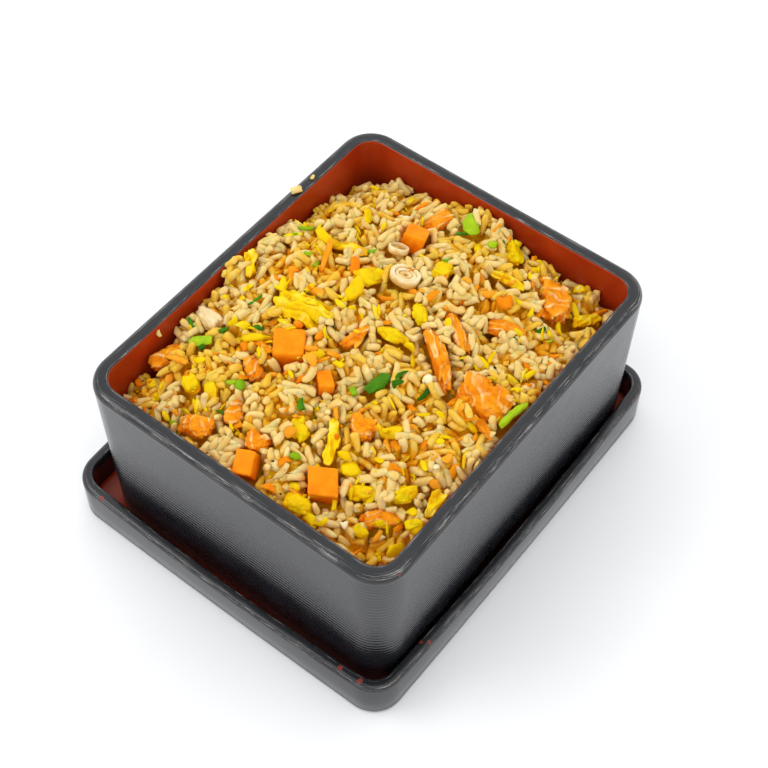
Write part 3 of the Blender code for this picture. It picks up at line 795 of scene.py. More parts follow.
def tube_slice(outer, wall, height):
    """A slice of a tube, a little oval and wavy."""
    bm = bmesh.new()
    radii = (outer - wall, outer - 0.7 * wall, outer - 0.3 * wall, outer)
    ring = list(zip(radii, (0.1 * height, 0.0, 0.0, 0.1 * height)))
    ring += zip(reversed(radii), (0.9 * height, height, height, 0.9 * height))
    verts = [bm.verts.new((x, 0.0, z)) for x, z in ring]
    edges = [bm.edges.new(pair) for pair in zip(verts, verts[1:] + verts[:1])]
    bmesh.ops.spin(bm, geom=verts + edges, axis=(0, 0, 1), cent=(0, 0, 0), angle=math.tau, steps=TUBE_SIDES,
                   use_merge=True)
    bmesh.ops.remove_doubles(bm, verts=bm.verts[:], dist=0.001)
    seed = seed_vector()
    for vert in bm.verts:
        vert.co += 0.45 * drift_at(vert.co / 4.0 + seed)
    return bm


def stalk_slice(outer, height):
    """Rings of a stalk, one inside the other, round a small core."""
    return join_shapes([(tube_slice(size * outer, wall * outer, tall * height), Matrix())
                        for size, wall, tall in STALK_RINGS])


# %% [markdown]
# ## Laying the toppings
# Each topping is laid at its solid's place: where it lies, its length, width and height in millimetres, its
# direction in degrees, and how far its middle rises above the heap. Fish also gives the heading and number of
# its layers. The shapes are noted, so that grains can come to rest on them later.

# %% Laying the toppings
trees = []


def lay(node, bm, finish, x, y, turn, rise, tip=0.0):
    """Lay a topping on the heap in place of its solid, and note its faces for the grains."""
    # The local map's second number is how high a point stands in the piece; its lower side takes the soaked colour,
    # partly oil and partly painted shade.
    local = bm.loops.layers.uv.verify()
    low, high = min(vert.co.z for vert in bm.verts), max(vert.co.z for vert in bm.verts)
    for face in bm.faces:
        for loop in face.loops:
            loop[local].uv.y = (loop.vert.co.z - low) / (high - low)
    made = mesh_piece(node + "_piece", bm, (finish,), (node,), lie_on_heap(x, y, turn, rise, tip))
    shape = bmesh.new()
    shape.from_mesh(made.data)
    trees.append((BVHTree.FromBMesh(shape), [Vector(c) for c in made.bound_box]))
    shape.free()


def carrot(name, x, y, size, turn, rise):
    """Lay a diced piece of carrot."""
    lay("carrot_" + name, diced(*size), CARROT, x, y, turn, rise)


def salmon(name, x, y, size, turn, rise, heading, layers, bend=0.0):
    """Lay a piece of fish."""
    lay("salmon_" + name, flesh(*size, heading, layers, bend), SALMON, x, y, turn, rise)


def egg(name, x, y, size, turn, rise):
    """Lay a curd of egg."""
    lay("egg_" + name, curd(*size), EGG, x, y, turn, rise)


def egg_sheet(name, x, y, size, turn, rise, fold_height=1.0):
    """Lay a thin piece of egg."""
    lay("egg_" + name, sheet(size[0], size[1], 1.0, fold_height), EGG, x, y, turn, rise)


def green(name, x, y, size, turn, rise, finish=GREEN, curl=1.0, fold_height=0.5):
    """Lay a piece of green onion."""
    lay("green_onion_" + name, sheet(size[0], size[1], 0.7, fold_height, 0.2, curl), finish,
        x, y, turn, rise)


carrot("cube_large", -23, 17, (10.5, 10.5, 9), 35, 0.5)
carrot("cube_front", -55, -23, (9.5, 9.5, 8), 38, 0.8)
carrot("cube_rim", -64, 1, (8.5, 6.5, 7), 25, 1.5)
carrot("round_back", 41.5, 14.5, (7.5, 8, 7), 20, 1.2)
carrot("wedge", -27, -1, (7, 5, 5), 50, 1.0)

salmon("flake_large", 1, -45, (19, 14, 7), -69, 1.5, 35, 5)
salmon("chunk_right", 53, -38, (22, 12, 8), 36, 1.0, 10, 5)
salmon("strip_long", 3, -25, (26, 6, 6), 47, 2.0, 84, 3, 1.0)
salmon("strip_inner", 15.5, -23, (17, 5, 5), 60, 1.6, 84, 3, -0.8)
salmon("flake_right", 29, -34, (15, 7, 5), -55, 1.6, 75, 3)
salmon("strip_back", 55, 14, (14, 7, 5), -18, 1.2, 80, 3, 0.8)
salmon("flake_left", -46, 52, (13, 7, 5), -16, 1.6, 60, 4)
salmon("flake_front", -62, 24, (13, 8, 5), -85, 1.4, 30, 5)
salmon("cube_left", -52, 16, (9, 8, 7), 11, 0.8, 40, 3)
salmon("cube_front", -56, 3, (9, 7, 6), -77, 0.6, 40, 3)
salmon("slice_front", -52, -43, (13, 6, 4), -44, 1.5, 80, 3, -0.8)
salmon("cube_middle", -33, -21, (9, 8, 7), -84, 1.0, 60, 2)
salmon("shred_left", -36, 22, (11, 6, 5), 57, 1.0, 20, 4)
salmon("shred_middle", -7, 2, (13, 5, 4), 0, 1.4, 80, 3, 0.8)

egg("curd_back", 17, 15, (11, 9, 5), -25, 1.5)
egg_sheet("sheet_folded", -8, 24, (22, 11, 2.2), -85, 2.4, 2.0)
egg_sheet("ribbon_back", 23, 29, (17, 5, 2), -78, 2.4)
egg_sheet("stick_left", -3, 51, (12, 4, 2.4), 45, 2.9)
egg("shred_centre", 1, -7, (13, 6, 4), -87, 1.5)
egg("curd_top_right", 34, -3, (10, 7, 5), -10, 1.4)
egg_sheet("stick_right", 48, -22, (12, 5, 2.4), -75, 2.4)
egg("curd_wall", 62, -14, (12, 7, 5), 49, 1.5)
egg_sheet("strip_corner", 56, -50, (15, 4, 2), -16, 2.6)
egg_sheet("strip_front", -43, -17, (16, 4, 2), 32, 2.9)
egg("curd_front_left", -64.5, -21, (11, 6.5, 6), -83, 1.2)
egg("curd_brown", -49, -34, (10, 7, 6), -43, 1.4)
egg("curd_front_right", -42, -45, (10, 6, 5), -32, 1.6)
egg("curd_left_front", -45, -5, (10, 6, 4), 57, 1.2)
egg_sheet("strip_front_rim", -38, -54, (9, 4, 2), 7, 2.6)
egg("curd_left", -51, 36, (8, 6, 5), 60, 1.5)
egg("curd_left_low", -50, 28, (8, 5, 4), 37, 1.5)
egg("oval_middle", -28, -30, (8, 6, 4), -30, 1.6)
egg("curd_centre_right", 14, -9, (10, 6, 4), 53, 1.4)

green("chunk_left", -36, 44.5, (9, 5, 2), -70, 3.4, fold_height=0.9)
green("stem_middle", -17, -15, (10, 4.5, 2), -16, 3.0, GREEN_DARK, 1.4)
green("leaf_right", 2, -55.9, (14, 2.6, 1.8), -5, 4.0, curl=0.4)
green("cap_back", 60, 3, (10, 6, 2.2), 42, 2.8, curl=1.6)
lay("onion_slice", stalk_slice(5.4, 3.2), ONION, 23, 5, 0, 0.8, 12)
lay("onion_hoop", tube_slice(3.6, 0.65, 2.6), ONION, 32.5, 15, 0, 0.9, 28)
lay("onion_chunk", fit(lump(5, 4.0, LUMP_ROUGH), 12, 7, 6), ONION, -27, 50, 79, 1.0)
print(len(trees), "toppings laid")

# %% [markdown]
# ## Height map
# Grains will be dropped one by one onto a height map of what already lies there. It starts with the core of the
# heap, the rim and the toppings. A second map is the goal: the surface that the grains should reach. Fried rice
# is sticky and its surface lumpy, so the goal is lifted into clumps, and each clump has a direction that its
# grains tend to and a share of egg that colours them.

# %% Height map
CELL = 0.4
CORE_DEPTH = 6.5
MAP_HALF_X, MAP_HALF_Y = 76.0, 63.6
MAP_X, MAP_Y = (np.arange(-half, half + 0.01, CELL) for half in (MAP_HALF_X, MAP_HALF_Y))
CORNER_X, CORNER_Y, INSIDE_RADIUS, RIM_RADIUS = 63.5, 51.0, 6.8, 11.5
CLUMP_TRIES, CLUMP_SPACING, CLUMP_FLOOR = 3000, 8.0, -1.6


def cell_of(x, y):
    """Indices of the map's cell at a place."""
    return round((x + MAP_HALF_X) / CELL), round((y + MAP_HALF_Y) / CELL)


def start_map():
    """Heights of the core inside the box and of the rim round it, the goal, and which cells are inside."""
    height = np.zeros((len(MAP_X), len(MAP_Y)))
    goal = np.zeros_like(height)
    inside = np.zeros_like(height, bool)
    for i, x in enumerate(MAP_X):
        for j, y in enumerate(MAP_Y):
            over = math.hypot(max(abs(x) - CORNER_X, 0.0), max(abs(y) - CORNER_Y, 0.0))
            if over < INSIDE_RADIUS:
                inside[i, j] = True
                goal[i, j] = heap_height(x, y) - 0.5 + 1.6 * noise.noise(Vector((x, y, 9.0)) / 13.0)
                height[i, j] = goal[i, j] - CORE_DEPTH
            elif over < RIM_RADIUS:
                height[i, j] = BOX_TOP / MM
    return height, goal, inside


def scatter_clumps():
    """Place, radius, height, direction of the grains and share of egg for each clump, none too near another."""
    clumps = []
    for _ in range(CLUMP_TRIES):
        x, y = dice.uniform(-68.0, 68.0), dice.uniform(-56.0, 56.0)
        if all(math.hypot(x - clump[0], y - clump[1]) > CLUMP_SPACING for clump in clumps):
            clumps.append((x, y, dice.uniform(5.5, 9.0), dice.uniform(2.0, 6.0), dice.uniform(0.0, math.pi),
                           noise.noise(Vector((x, y, 30.0)) / 16.0) + dice.normal(0.0, 0.24)))
    return clumps


def add_clumps(goal, inside):
    """Lift the goal into clumps, and map the direction and the share of egg of each."""
    grid_x, grid_y = np.meshgrid(MAP_X, MAP_Y, indexing="ij")
    lift, field, eggy = np.full_like(goal, CLUMP_FLOOR), np.zeros_like(goal), np.zeros_like(goal)
    clumps = scatter_clumps()
    for x, y, radius, rise, turn, egg_share in clumps:
        dome = rise * (1.0 - ((grid_x - x) ** 2 + (grid_y - y) ** 2) / radius ** 2)
        above = dome > lift
        lift[above], field[above], eggy[above] = dome[above], turn, egg_share
    print(len(clumps), "clumps, spread of the lift", round(float(lift[inside].std()), 2), "mm")
    return goal + lift - lift[inside].mean(), field, eggy


def press_toppings(height):
    """Raise the map where toppings lie, and mark those cells."""
    covered = np.zeros_like(height, bool)
    for tree, corners in trees:
        low = [min(c[k] for c in corners) / MM - BOX_SHIFT[k] / MM for k in range(2)]
        high = [max(c[k] for c in corners) / MM - BOX_SHIFT[k] / MM for k in range(2)]
        for i in range(*np.searchsorted(MAP_X, (low[0], high[0]))):
            for j in range(*np.searchsorted(MAP_Y, (low[1], high[1]))):
                start = Vector((MAP_X[i] * MM + BOX_SHIFT.x, MAP_Y[j] * MM + BOX_SHIFT.y, 0.2))
                hit = tree.ray_cast(start, Vector((0.0, 0.0, -1.0)))[0]
                if hit is not None and hit.z / MM > height[i, j]:
                    height[i, j] = hit.z / MM
                    covered[i, j] = True
    return covered


height_map, goal_map, inside_map = start_map()
tone_map = np.full_like(height_map, 0.4)
goal_map, field_map, egg_map = add_clumps(goal_map, inside_map)
covered_map = press_toppings(height_map)
print("toppings cover", round(100.0 * covered_map.sum() / inside_map.sum()), "% of the heap")

# %% [markdown]
# ## Letting the grains settle
# For a spot and a direction, a grain leans with the slope under it and comes to rest where its underside first
# touches the map. Of several spots tried, the lowest one against the goal is kept, so hollows fill first. Grains
# cling together, so some stand up, and each sinks a little into those below. A physics simulation would give
# the same kind of heap, more slowly.

# %% Coming to rest
REACH = 12
STEP_X, STEP_Y = np.meshgrid(np.arange(-REACH, REACH + 1), np.arange(-REACH, REACH + 1), indexing="ij")
AWAY_X, AWAY_Y = STEP_X * CELL, STEP_Y * CELL
STEEPEST = 0.9


def patch_of(grid, i, j):
    """The part of a map within reach of a cell."""
    return grid[i - REACH:i + REACH + 1, j - REACH:j + REACH + 1]


def grain_turn(turn, pitch, roll):
    """Rotation matrix of a grain: about its length, then up, then round."""
    ca, sa, cb, sb = math.cos(turn), math.sin(turn), math.cos(pitch), math.sin(pitch)
    cc, sc = math.cos(roll), math.sin(roll)
    about_z = np.array(((ca, -sa, 0.0), (sa, ca, 0.0), (0.0, 0.0, 1.0)))
    about_y = np.array(((cb, 0.0, -sb), (0.0, 1.0, 0.0), (sb, 0.0, cb)))
    about_x = np.array(((1.0, 0.0, 0.0), (0.0, cc, -sc), (0.0, sc, cc)))
    return about_z @ about_y @ about_x


def slope_angle(patch, along):
    """Angle at which a patch rises along a direction."""
    slope = ((patch - patch.mean()) * along).sum() / max(0.1, (along ** 2).sum())
    return math.atan(max(-STEEPEST, min(STEEPEST, slope)))


def try_spot(i, j, turn, half, loose):
    """Where a grain comes to rest at a cell: height of its middle, rotation, its top and its footprint."""
    patch = patch_of(height_map, i, j)
    flat_x = AWAY_X * math.cos(turn) + AWAY_Y * math.sin(turn)
    flat_y = -AWAY_X * math.sin(turn) + AWAY_Y * math.cos(turn)
    under = (flat_x / half[0]) ** 2 + (flat_y / half[1]) ** 2 < 1.0
    pitch = slope_angle(patch[under], flat_x[under]) + loose[0]
    roll = slope_angle(patch[under], flat_y[under]) + loose[1]
    spin = grain_turn(turn, pitch, roll)
    shape = spin @ np.diag(1.0 / half ** 2) @ spin.T
    lean = shape[0, 2] * AWAY_X + shape[1, 2] * AWAY_Y
    rest = shape[0, 0] * AWAY_X ** 2 + 2.0 * shape[0, 1] * AWAY_X * AWAY_Y + shape[1, 1] * AWAY_Y ** 2 - 1.0
    inner = lean ** 2 - shape[2, 2] * rest
    touched = inner > 0.0
    root = np.sqrt(np.where(touched, inner, 0.0))
    root = root.max() * (root / root.max()) ** 0.85
    low, high = (-lean - root) / shape[2, 2], (-lean + root) / shape[2, 2]
    return (patch - low)[touched].max(), spin, high, touched


def settle(i, j, middle, high, touched, tone=None):
    """Raise the map to the top of what came to rest, and note its tone there."""
    patch = patch_of(height_map, i, j)
    above = touched & (middle + high > patch)
    patch[above] = (middle + high)[above]
    if tone is not None:
        patch_of(tone_map, i, j)[above] = tone


# %% [markdown]
# A grain that finds no spot low enough is left out, and so is one that would stand above the height that the
# heap may have. Every grain notes its tone, which the share of egg in its clump lowers.

# %% Dropping grains
TOP_LIMIT = 84.4
POOL_SIZE = 24
LONG, WIDE, TALL = (2.7, 3.9), (1.1, 1.45), (1.0, 1.3)
BROKEN_SHARE, BROKEN_LENGTH, STANDING_SHARE = 0.15, 0.6, 0.3
heap_cells = np.argwhere(inside_map[REACH:-REACH, REACH:-REACH]) + REACH


def drop_grains(count, tries, target, sink, cells, length=1.0):
    """Drop grains one by one; each comes back as its place, rotation, half size and tone.

    Each grain tries the lowest few of some random cells. It stays if it rests at most target above the goal,
    and sinks in by about sink. All of them are length times as long as usual.
    """
    dropped = []
    for _ in range(count):
        broken = BROKEN_LENGTH if dice.random() < BROKEN_SHARE else 1.0
        half = np.array((dice.uniform(*LONG) * broken * length, dice.uniform(*WIDE), dice.uniform(*TALL)))
        pool = cells[dice.integers(0, len(cells), POOL_SIZE)]
        room = height_map[pool[:, 0], pool[:, 1]] - goal_map[pool[:, 0], pool[:, 1]]
        best = None
        for i, j in pool[np.argsort(room)[:tries]]:
            turn = field_map[i, j] + dice.normal(0.0, 1.2)
            stands = dice.uniform(0.4, 1.0) * dice.choice((-1, 1)) if dice.random() < STANDING_SHARE else 0.0
            loose = dice.normal(0.0, 0.3) + stands, dice.normal(0.0, 0.3)
            middle, spin, high, touched = try_spot(i, j, turn, half, loose)
            onto = (patch_of(covered_map, i, j) & touched).sum() / touched.sum()
            score = middle - goal_map[i, j] + (4.0 * onto if onto > 0.3 else 0.0) + dice.uniform(0.0, 0.8)
            if best is None or score < best[0]:
                best = score, i, j, middle - sink * dice.uniform(0.6, 1.3), spin, high, touched
        score, i, j, middle, spin, high, touched = best
        if score > target or (middle + high[touched]).max() > TOP_LIMIT:
            continue
        tone = 0.60 - 0.60 * egg_map[i, j] + dice.normal(0.0, 0.06)
        settle(i, j, middle, high, touched, tone)
        dropped.append(((MAP_X[i], MAP_Y[j], middle), spin, half, tone))
    return dropped


# %% [markdown]
# ## Small bits
# A cook's knife and spatula leave crumbs of everything: torn egg, shreds of carrot and salmon, bits of green
# onion, and specks of char and pepper. The ones that can be told apart in the photo are listed: where they
# lie, their length and width in millimetres, and their direction in degrees. They settle like the grains.
# A few hundred finer crumbs are strewn at random, thickest where the larger pieces of the same food lie.

# %% Where the bits lie
EGG_BITS = (
    (-26.5, 29.5, 9, 2.5, 120), (-25, 36, 5.5, 3, 110), (-55.5, 30, 5.5, 3, 50), (-45.5, -27, 6, 6, 50),
    (-47.5, -54.5, 4.5, 4.5, 40), (-55.5, -52.5, 6, 4.5, 160), (-58.5, -40.5, 5, 3.5, 100), (1.5, -14, 4.5, 3, 100),
    (66, -22.5, 5, 2.5, 40), (67, -12.5, 5.5, 2.5, 0), (42, -31, 5, 3.5, 125), (65, -40, 4.5, 3, 125),
    (55.5, -45, 7, 2.5, 50), (35.5, 6, 6, 2.5, 135), (-20.5, 7.5, 6, 3.5, 115), (-19, -0.5, 4, 2.5, 90),
    (60, 30.5, 4.5, 1.5, 150), (58.5, 45, 4.5, 2.5, 80), (40, 34, 6, 3.5, 40), (40, 27, 5.5, 2.5, 40),
    (25.5, 44.5, 3, 2.5, 115), (21.5, 39.5, 3, 2.5, 105), (-31, -44.5, 5.5, 2.5, 40), (17, 48.5, 7, 1.5, 140),
    (20.5, 37, 8, 3.5, 85), (-18, 50, 2.5, 2, 90), (-15.5, 44.5, 4, 2, 55), (-5, 36, 5, 3.5, 155),
    (6.5, 14, 8.5, 5, 0), (-1, 13, 4.5, 3, 85), (4.5, 2.5, 4.5, 2, 65), (-19, 21, 4.5, 2.5, 120),
    (38, -45.5, 3, 1.5, 80), (11, -50.5, 3.5, 1.5, 120), (-56.5, 50, 4.5, 3, 90), (-59.5, 44.5, 3.5, 2, 85),
    (-64, 36, 3.5, 2, 85), (-56.5, 11, 2.5, 1.5, 130), (-60, -15.5, 3.5, 2.5, 90), (-44.5, -23, 4, 3, 95),
    (-20.5, -43, 2.5, 2.5, 95), (-16, -33.5, 5, 1.5, 145), (-23, -18.5, 3, 1.5, 80), (-37, -29, 3, 1.5, 90),
    (8.5, -43, 2.5, 1.5, 105), (10.5, -51, 2.5, 1.5, 75), (-47.5, -53, 5.5, 4, 115), (-44, -50, 4, 2.5, 80),
    (-66, -27, 5, 3, 85), (-37, -52.5, 5, 3, 60), (-9, 17, 7, 3, 100), (-16, 26, 6, 2.5, 80),
)
CARROT_BITS = (
    (15, 32.5, 13, 2, 20), (17, 21.5, 6, 3.5, 35), (3, 37, 4, 2.5, 120), (-39.5, 36.5, 4, 1, 115),
    (-31, 5.5, 3.5, 2, 150), (-63, -43, 4, 1, 165), (57, 23, 6, 1.5, 130), (52, -5.5, 4, 1.5, 55),
    (-6, 46.5, 3, 1.5, 160), (8, 45.5, 3, 1, 115), (-14, 12, 4, 2.5, 30), (-15, 20, 4, 3, 60),
)
SALMON_BITS = (
    (-30.5, 30, 4, 4, 45), (-34, 14.5, 4, 2.5, 145), (-25, 7, 6.5, 3.5, 80), (-27, -16.5, 3.5, 2.5, 105),
    (-58, 54, 4, 2.5, 75), (-64, 51.5, 5, 2, 80), (-55.5, 40.5, 5, 2, 45), (49.5, 28.5, 4, 2, 150),
    (36.5, -21, 4, 2.5, 145), (36, -28, 5, 4.5, 125), (-33, -50.5, 4, 3, 85), (-31, -33.5, 4, 3, 90),
    (-22, -31, 6.5, 2.5, 5), (-56.5, -45.5, 4.5, 2, 165), (32, -51.5, 3.5, 2, 135), (14.5, -52.5, 3, 2.5, 120),
    (-23.5, 50, 8.5, 2, 70), (62, -49.5, 8.5, 3.5, 170), (-47, 47, 9, 2.5, 105), (-61, 34.5, 2.5, 2, 90),
    (-48.5, -4.5, 4.5, 3, 150), (-62.5, 5, 3, 2.5, 95), (-66, -10, 5, 2.5, 95), (-33.5, -32, 4, 1.5, 60),
    (-38.5, -38.5, 4.5, 2.5, 135), (-24.5, -48.5, 4.5, 2.5, 155), (-14, -47.5, 4, 2, 165), (-6, -40, 7.5, 2.5, 145),
    (-6.5, -49, 9.5, 4, 85), (63, 20, 2.5, 2, 100), (64.5, -9.5, 4, 2, 155), (36, -12.5, 3.5, 2, 100),
    (22.5, -3, 3, 1.5, 90), (4, -2, 4, 1.5, 110), (-2.5, 40, 4, 1.5, 65), (-17, 3, 4.5, 2.5, 95),
    (-29.5, 22, 6, 3, 70), (0, 25, 8, 2.5, 100),
)
DARK_GREEN_BITS = (
    (54.5, 3.5, 5, 2, 155), (-14, -20.5, 4, 2.5, 155), (-38.5, -0.5, 4.5, 2.5, 45), (-34.5, -5, 1.5, 1.5, 95),
    (-37.5, -5.5, 1.5, 1.5, 95), (-38.5, 42.5, 3, 1.5, 155), (-22.5, 30.5, 4, 2.5, 175), (-29.5, 41, 3.5, 2, 150),
    (-33, 52, 4.5, 1.5, 80), (-31, 44, 3.5, 1.5, 70), (-65.5, 30.5, 3.5, 1.5, 70), (-54, 20.5, 2.5, 1.5, 90),
    (37, -42.5, 3.5, 1.5, 130), (61, -10.5, 2.5, 1.5, 90), (-10.5, -19.5, 6.5, 1.5, 175), (-13, 40, 6.5, 1, 175),
    (-10.5, -29, 5.5, 1.5, 165), (-64, -47, 4.5, 2, 120),
)
LIGHT_GREEN_BITS = (
    (10.5, 33.5, 5, 1.5, 10), (26, 21, 4.5, 1.5, 100), (-64, 33.5, 3, 1.5, 150), (36.5, -47, 3, 1, 0),
    (40, -1, 3.5, 1.5, 145), (23, 47.5, 6.5, 2.5, 145), (16.5, 49.5, 6, 1.5, 115), (11.5, 37.5, 3.5, 1.5, 165),
    (-45, 23.5, 4, 2.5, 95), (-44.5, 20, 4, 3, 30), (-23.5, -10, 4, 2.5, 35), (56.5, -8.5, 4, 3, 130),
    (-54, -10.5, 4.5, 2.5, 155),
)
WHITE_BITS = (
    (50.5, 24, 4.5, 2, 155), (-60, -35.5, 3, 2.5, 125), (-43, 53.5, 2.5, 1.5, 140), (-6.5, -27.5, 3.5, 3, 80),
    (-29, -48, 2.5, 1.5, 160),
)
SPECKS = (
    (55, 28.5, 1, 0.6, 65), (50.5, -26.5, 1, 0.5, 105), (-59, -6, 1, 0.5, 100), (-58.5, -9, 1, 0.9, 105),
    (-57, -15, 1, 0.5, 160), (-61, -15.5, 1.2, 0.9, 110), (-65, -14, 1, 0.5, 100), (-64.5, -6.5, 1, 0.5, 100),
    (-61, -12, 1, 0.5, 155), (13.5, -40, 1, 0.8, 110), (-39.5, 30, 1, 0.5, 75), (-23.5, -28.5, 1, 0.5, 95),
    (5.5, -23.5, 1.5, 0.8, 65), (54.5, -16.5, 1, 0.5, 100),
)

BIT_LIMIT_X, BIT_LIMIT_Y, BIT_LIMIT_CORNER = 67.0, 54.5, 113.0
BIT_TOP = 2.6


def lay_bits(rows, thick, sink=0.4):
    """Settle listed bits, each as thick as a share of its width."""
    laid = []
    for x, y, length, width, turn in rows:
        i, j = cell_of(x, y)
        half = np.array((0.5 * length, 0.5 * width, max(0.3, 0.5 * width * thick)))
        loose = dice.normal(0.0, 0.12), dice.normal(0.0, 0.2)
        middle, spin, high, touched = try_spot(i, j, math.radians(turn), half, loose)
        middle = min(middle - sink, goal_map[i, j] + BIT_TOP)
        settle(i, j, middle, high, touched)
        laid.append(((x, y, middle), spin, half))
    return laid


def strew(count, homes, reach, sizes, thick):
    """Settle fine crumbs round the places of larger bits."""
    rows = []
    while len(rows) < count:
        home = homes[dice.integers(0, len(homes))]
        x, y = home[0] + dice.normal(0.0, reach), home[1] + dice.normal(0.0, reach)
        if abs(x) < BIT_LIMIT_X and abs(y) < BIT_LIMIT_Y and abs(x) + abs(y) < BIT_LIMIT_CORNER:
            length = dice.uniform(*sizes)
            rows.append((x, y, length, length * dice.uniform(0.22, 0.5), dice.uniform(0.0, 180.0)))
    return lay_bits(rows, thick, 0.3)


# %% [markdown]
# The box is filled in turns: a bed of grains, crumbs, more bed, then loose grains and the listed bits on top.
# A copy of the map is kept between bed and loose grains, because the core is cast from it.

# %% Filling the box
bed_grains = drop_grains(3800, 5, 0.9, 1.2, heap_cells)
egg_bits = strew(200, EGG_BITS, 8.0, (1.6, 4.8), 0.5)
carrot_bits = strew(50, CARROT_BITS, 11.0, (1.4, 3.8), 0.7)
salmon_bits = strew(170, SALMON_BITS, 9.0, (1.8, 5.8), 0.5)
dark_green_bits = strew(14, DARK_GREEN_BITS, 12.0, (0.8, 2.2), 0.4)
light_green_bits = strew(14, LIGHT_GREEN_BITS, 12.0, (1.2, 2.8), 0.5)
bed_grains += drop_grains(3000, 4, 2.0, 1.3, heap_cells)
bed_map, bed_tones = height_map.copy(), tone_map.copy()
print(len(bed_grains), "grains in the bed")
loose_grains = drop_grains(1800, 5, 3.0, 1.5, heap_cells)
egg_bits += lay_bits(EGG_BITS, 0.6) + strew(130, EGG_BITS, 9.0, (1.6, 5.6), 0.4)
carrot_bits += lay_bits(CARROT_BITS, 0.8)
salmon_bits += lay_bits(SALMON_BITS, 0.6) + strew(50, SALMON_BITS, 9.0, (1.8, 5.4), 0.4)
dark_green_bits += lay_bits(DARK_GREEN_BITS, 0.45)
light_green_bits += lay_bits(LIGHT_GREEN_BITS, 0.6)
white_bits = lay_bits(WHITE_BITS, 0.7)
specks = lay_bits(SPECKS, 0.8, 0.1) + strew(26, SPECKS + EGG_BITS, 10.0, (0.4, 0.9), 0.8)
rise = (height_map - goal_map)[inside_map & ~covered_map]
print(len(loose_grains), "loose grains, surface", round(float(rise.mean()), 2), "mm above the solid heap, spread",
      round(float(rise.std()), 2))

# %% [markdown]
# ## The heap's core
# The grains of fried rice aren't loose like gravel. Starch, egg and oil join them, and between them there are
# no dark holes but soft creases. So the core is cast from the height map of the bed: the bed's grains show in
# its relief, softened and a little lowered, so that the upper ones stand out of it as meshes of their own. Under
# toppings the core stays clear of their tops. Its local map notes the tone of the grains and how high each point
# stands against its surroundings, and the finish paints the creases amber, partly as oil and partly as painted
# shade. Its plan is a grid squeezed into the rounded outline.

# %% Reading and smoothing maps


def shift_max(grid, reach):
    """Largest value within reach of each cell."""
    grown = grid.copy()
    for di in range(-reach, reach + 1):
        for dj in range(-reach, reach + 1):
            if 0 < di * di + dj * dj <= reach * reach + 1:
                grown = np.maximum(grown, np.roll(grid, (di, dj), (0, 1)))
    return grown


def blur(grid, passes):
    """Smooth a map by repeated averaging with its neighbours."""
    for _ in range(passes):
        for axis in (0, 1):
            grid = 0.5 * grid + 0.25 * (np.roll(grid, 1, axis) + np.roll(grid, -1, axis))
    return grid


def between_cells(grid, x, y):
    """Value of a map at a place between its cells."""
    u, v = (x + MAP_HALF_X) / CELL, (y + MAP_HALF_Y) / CELL
    i, j = int(u), int(v)
    u, v = u - i, v - j
    near_side = (1.0 - v) * grid[i, j] + v * grid[i, j + 1]
    far_side = (1.0 - v) * grid[i + 1, j] + v * grid[i + 1, j + 1]
    return float((1.0 - u) * near_side + u * far_side)


def squeeze(x, y, half_x, half_y, radius):
    """Move a point that is outside a rounded rectangle onto its outline."""
    x, y = max(-half_x, min(half_x, x)), max(-half_y, min(half_y, y))
    over_x, over_y = abs(x) - (half_x - radius), abs(y) - (half_y - radius)
    if over_x > 0.0 and over_y > 0.0 and math.hypot(over_x, over_y) > radius:
        scale = radius / math.hypot(over_x, over_y)
        x = math.copysign(half_x - radius + over_x * scale, x)
        y = math.copysign(half_y - radius + over_y * scale, y)
    return x, y


# %% [markdown]
# These are the core's measures: how deep its creases go, how far it lies under the bed and under toppings, and
# its plan. Near the wall its top falls away.

# %% Core of the heap
CREASE_FLOOR, CORE_LOWERED, TOPPING_CLEAR = 1.8, 0.45, 2.2
CORE_CELLS, CORE_GRID, CORE_BOTTOM = (336, 276), (69.2, 56.6), 12.0
CORE_HALF_X, CORE_HALF_Y, CORE_CORNER = 69.0, 56.4, 7.0
CORE_EDGE_X, CORE_EDGE_Y, CORE_EDGE_FALL = 66.0, 53.4, 0.6
STAND_MIDDLE, STAND_RANGE = 0.60, 2.4


def fill_under(surface):
    """A surface carried on smoothly under the toppings."""
    filled = np.where(covered_map, goal_map, surface)
    for _ in range(80):
        filled = np.where(covered_map, blur(filled, 2), filled)
    return filled


def core_map():
    """Top of the core: the bed's surface with narrow gaps closed, softened and a little lowered."""
    surface = np.where(inside_map, bed_map, goal_map.mean())
    bed = fill_under(surface)
    closed = -shift_max(-shift_max(bed, 1), 1)
    top = blur(0.5 * (closed + np.maximum(bed, blur(closed, 20) - CREASE_FLOOR)), 1) - CORE_LOWERED
    clear = -shift_max(-np.where(covered_map, surface - TOPPING_CLEAR, 999.0), 2)
    return np.where(covered_map, np.minimum(top, clear), top)


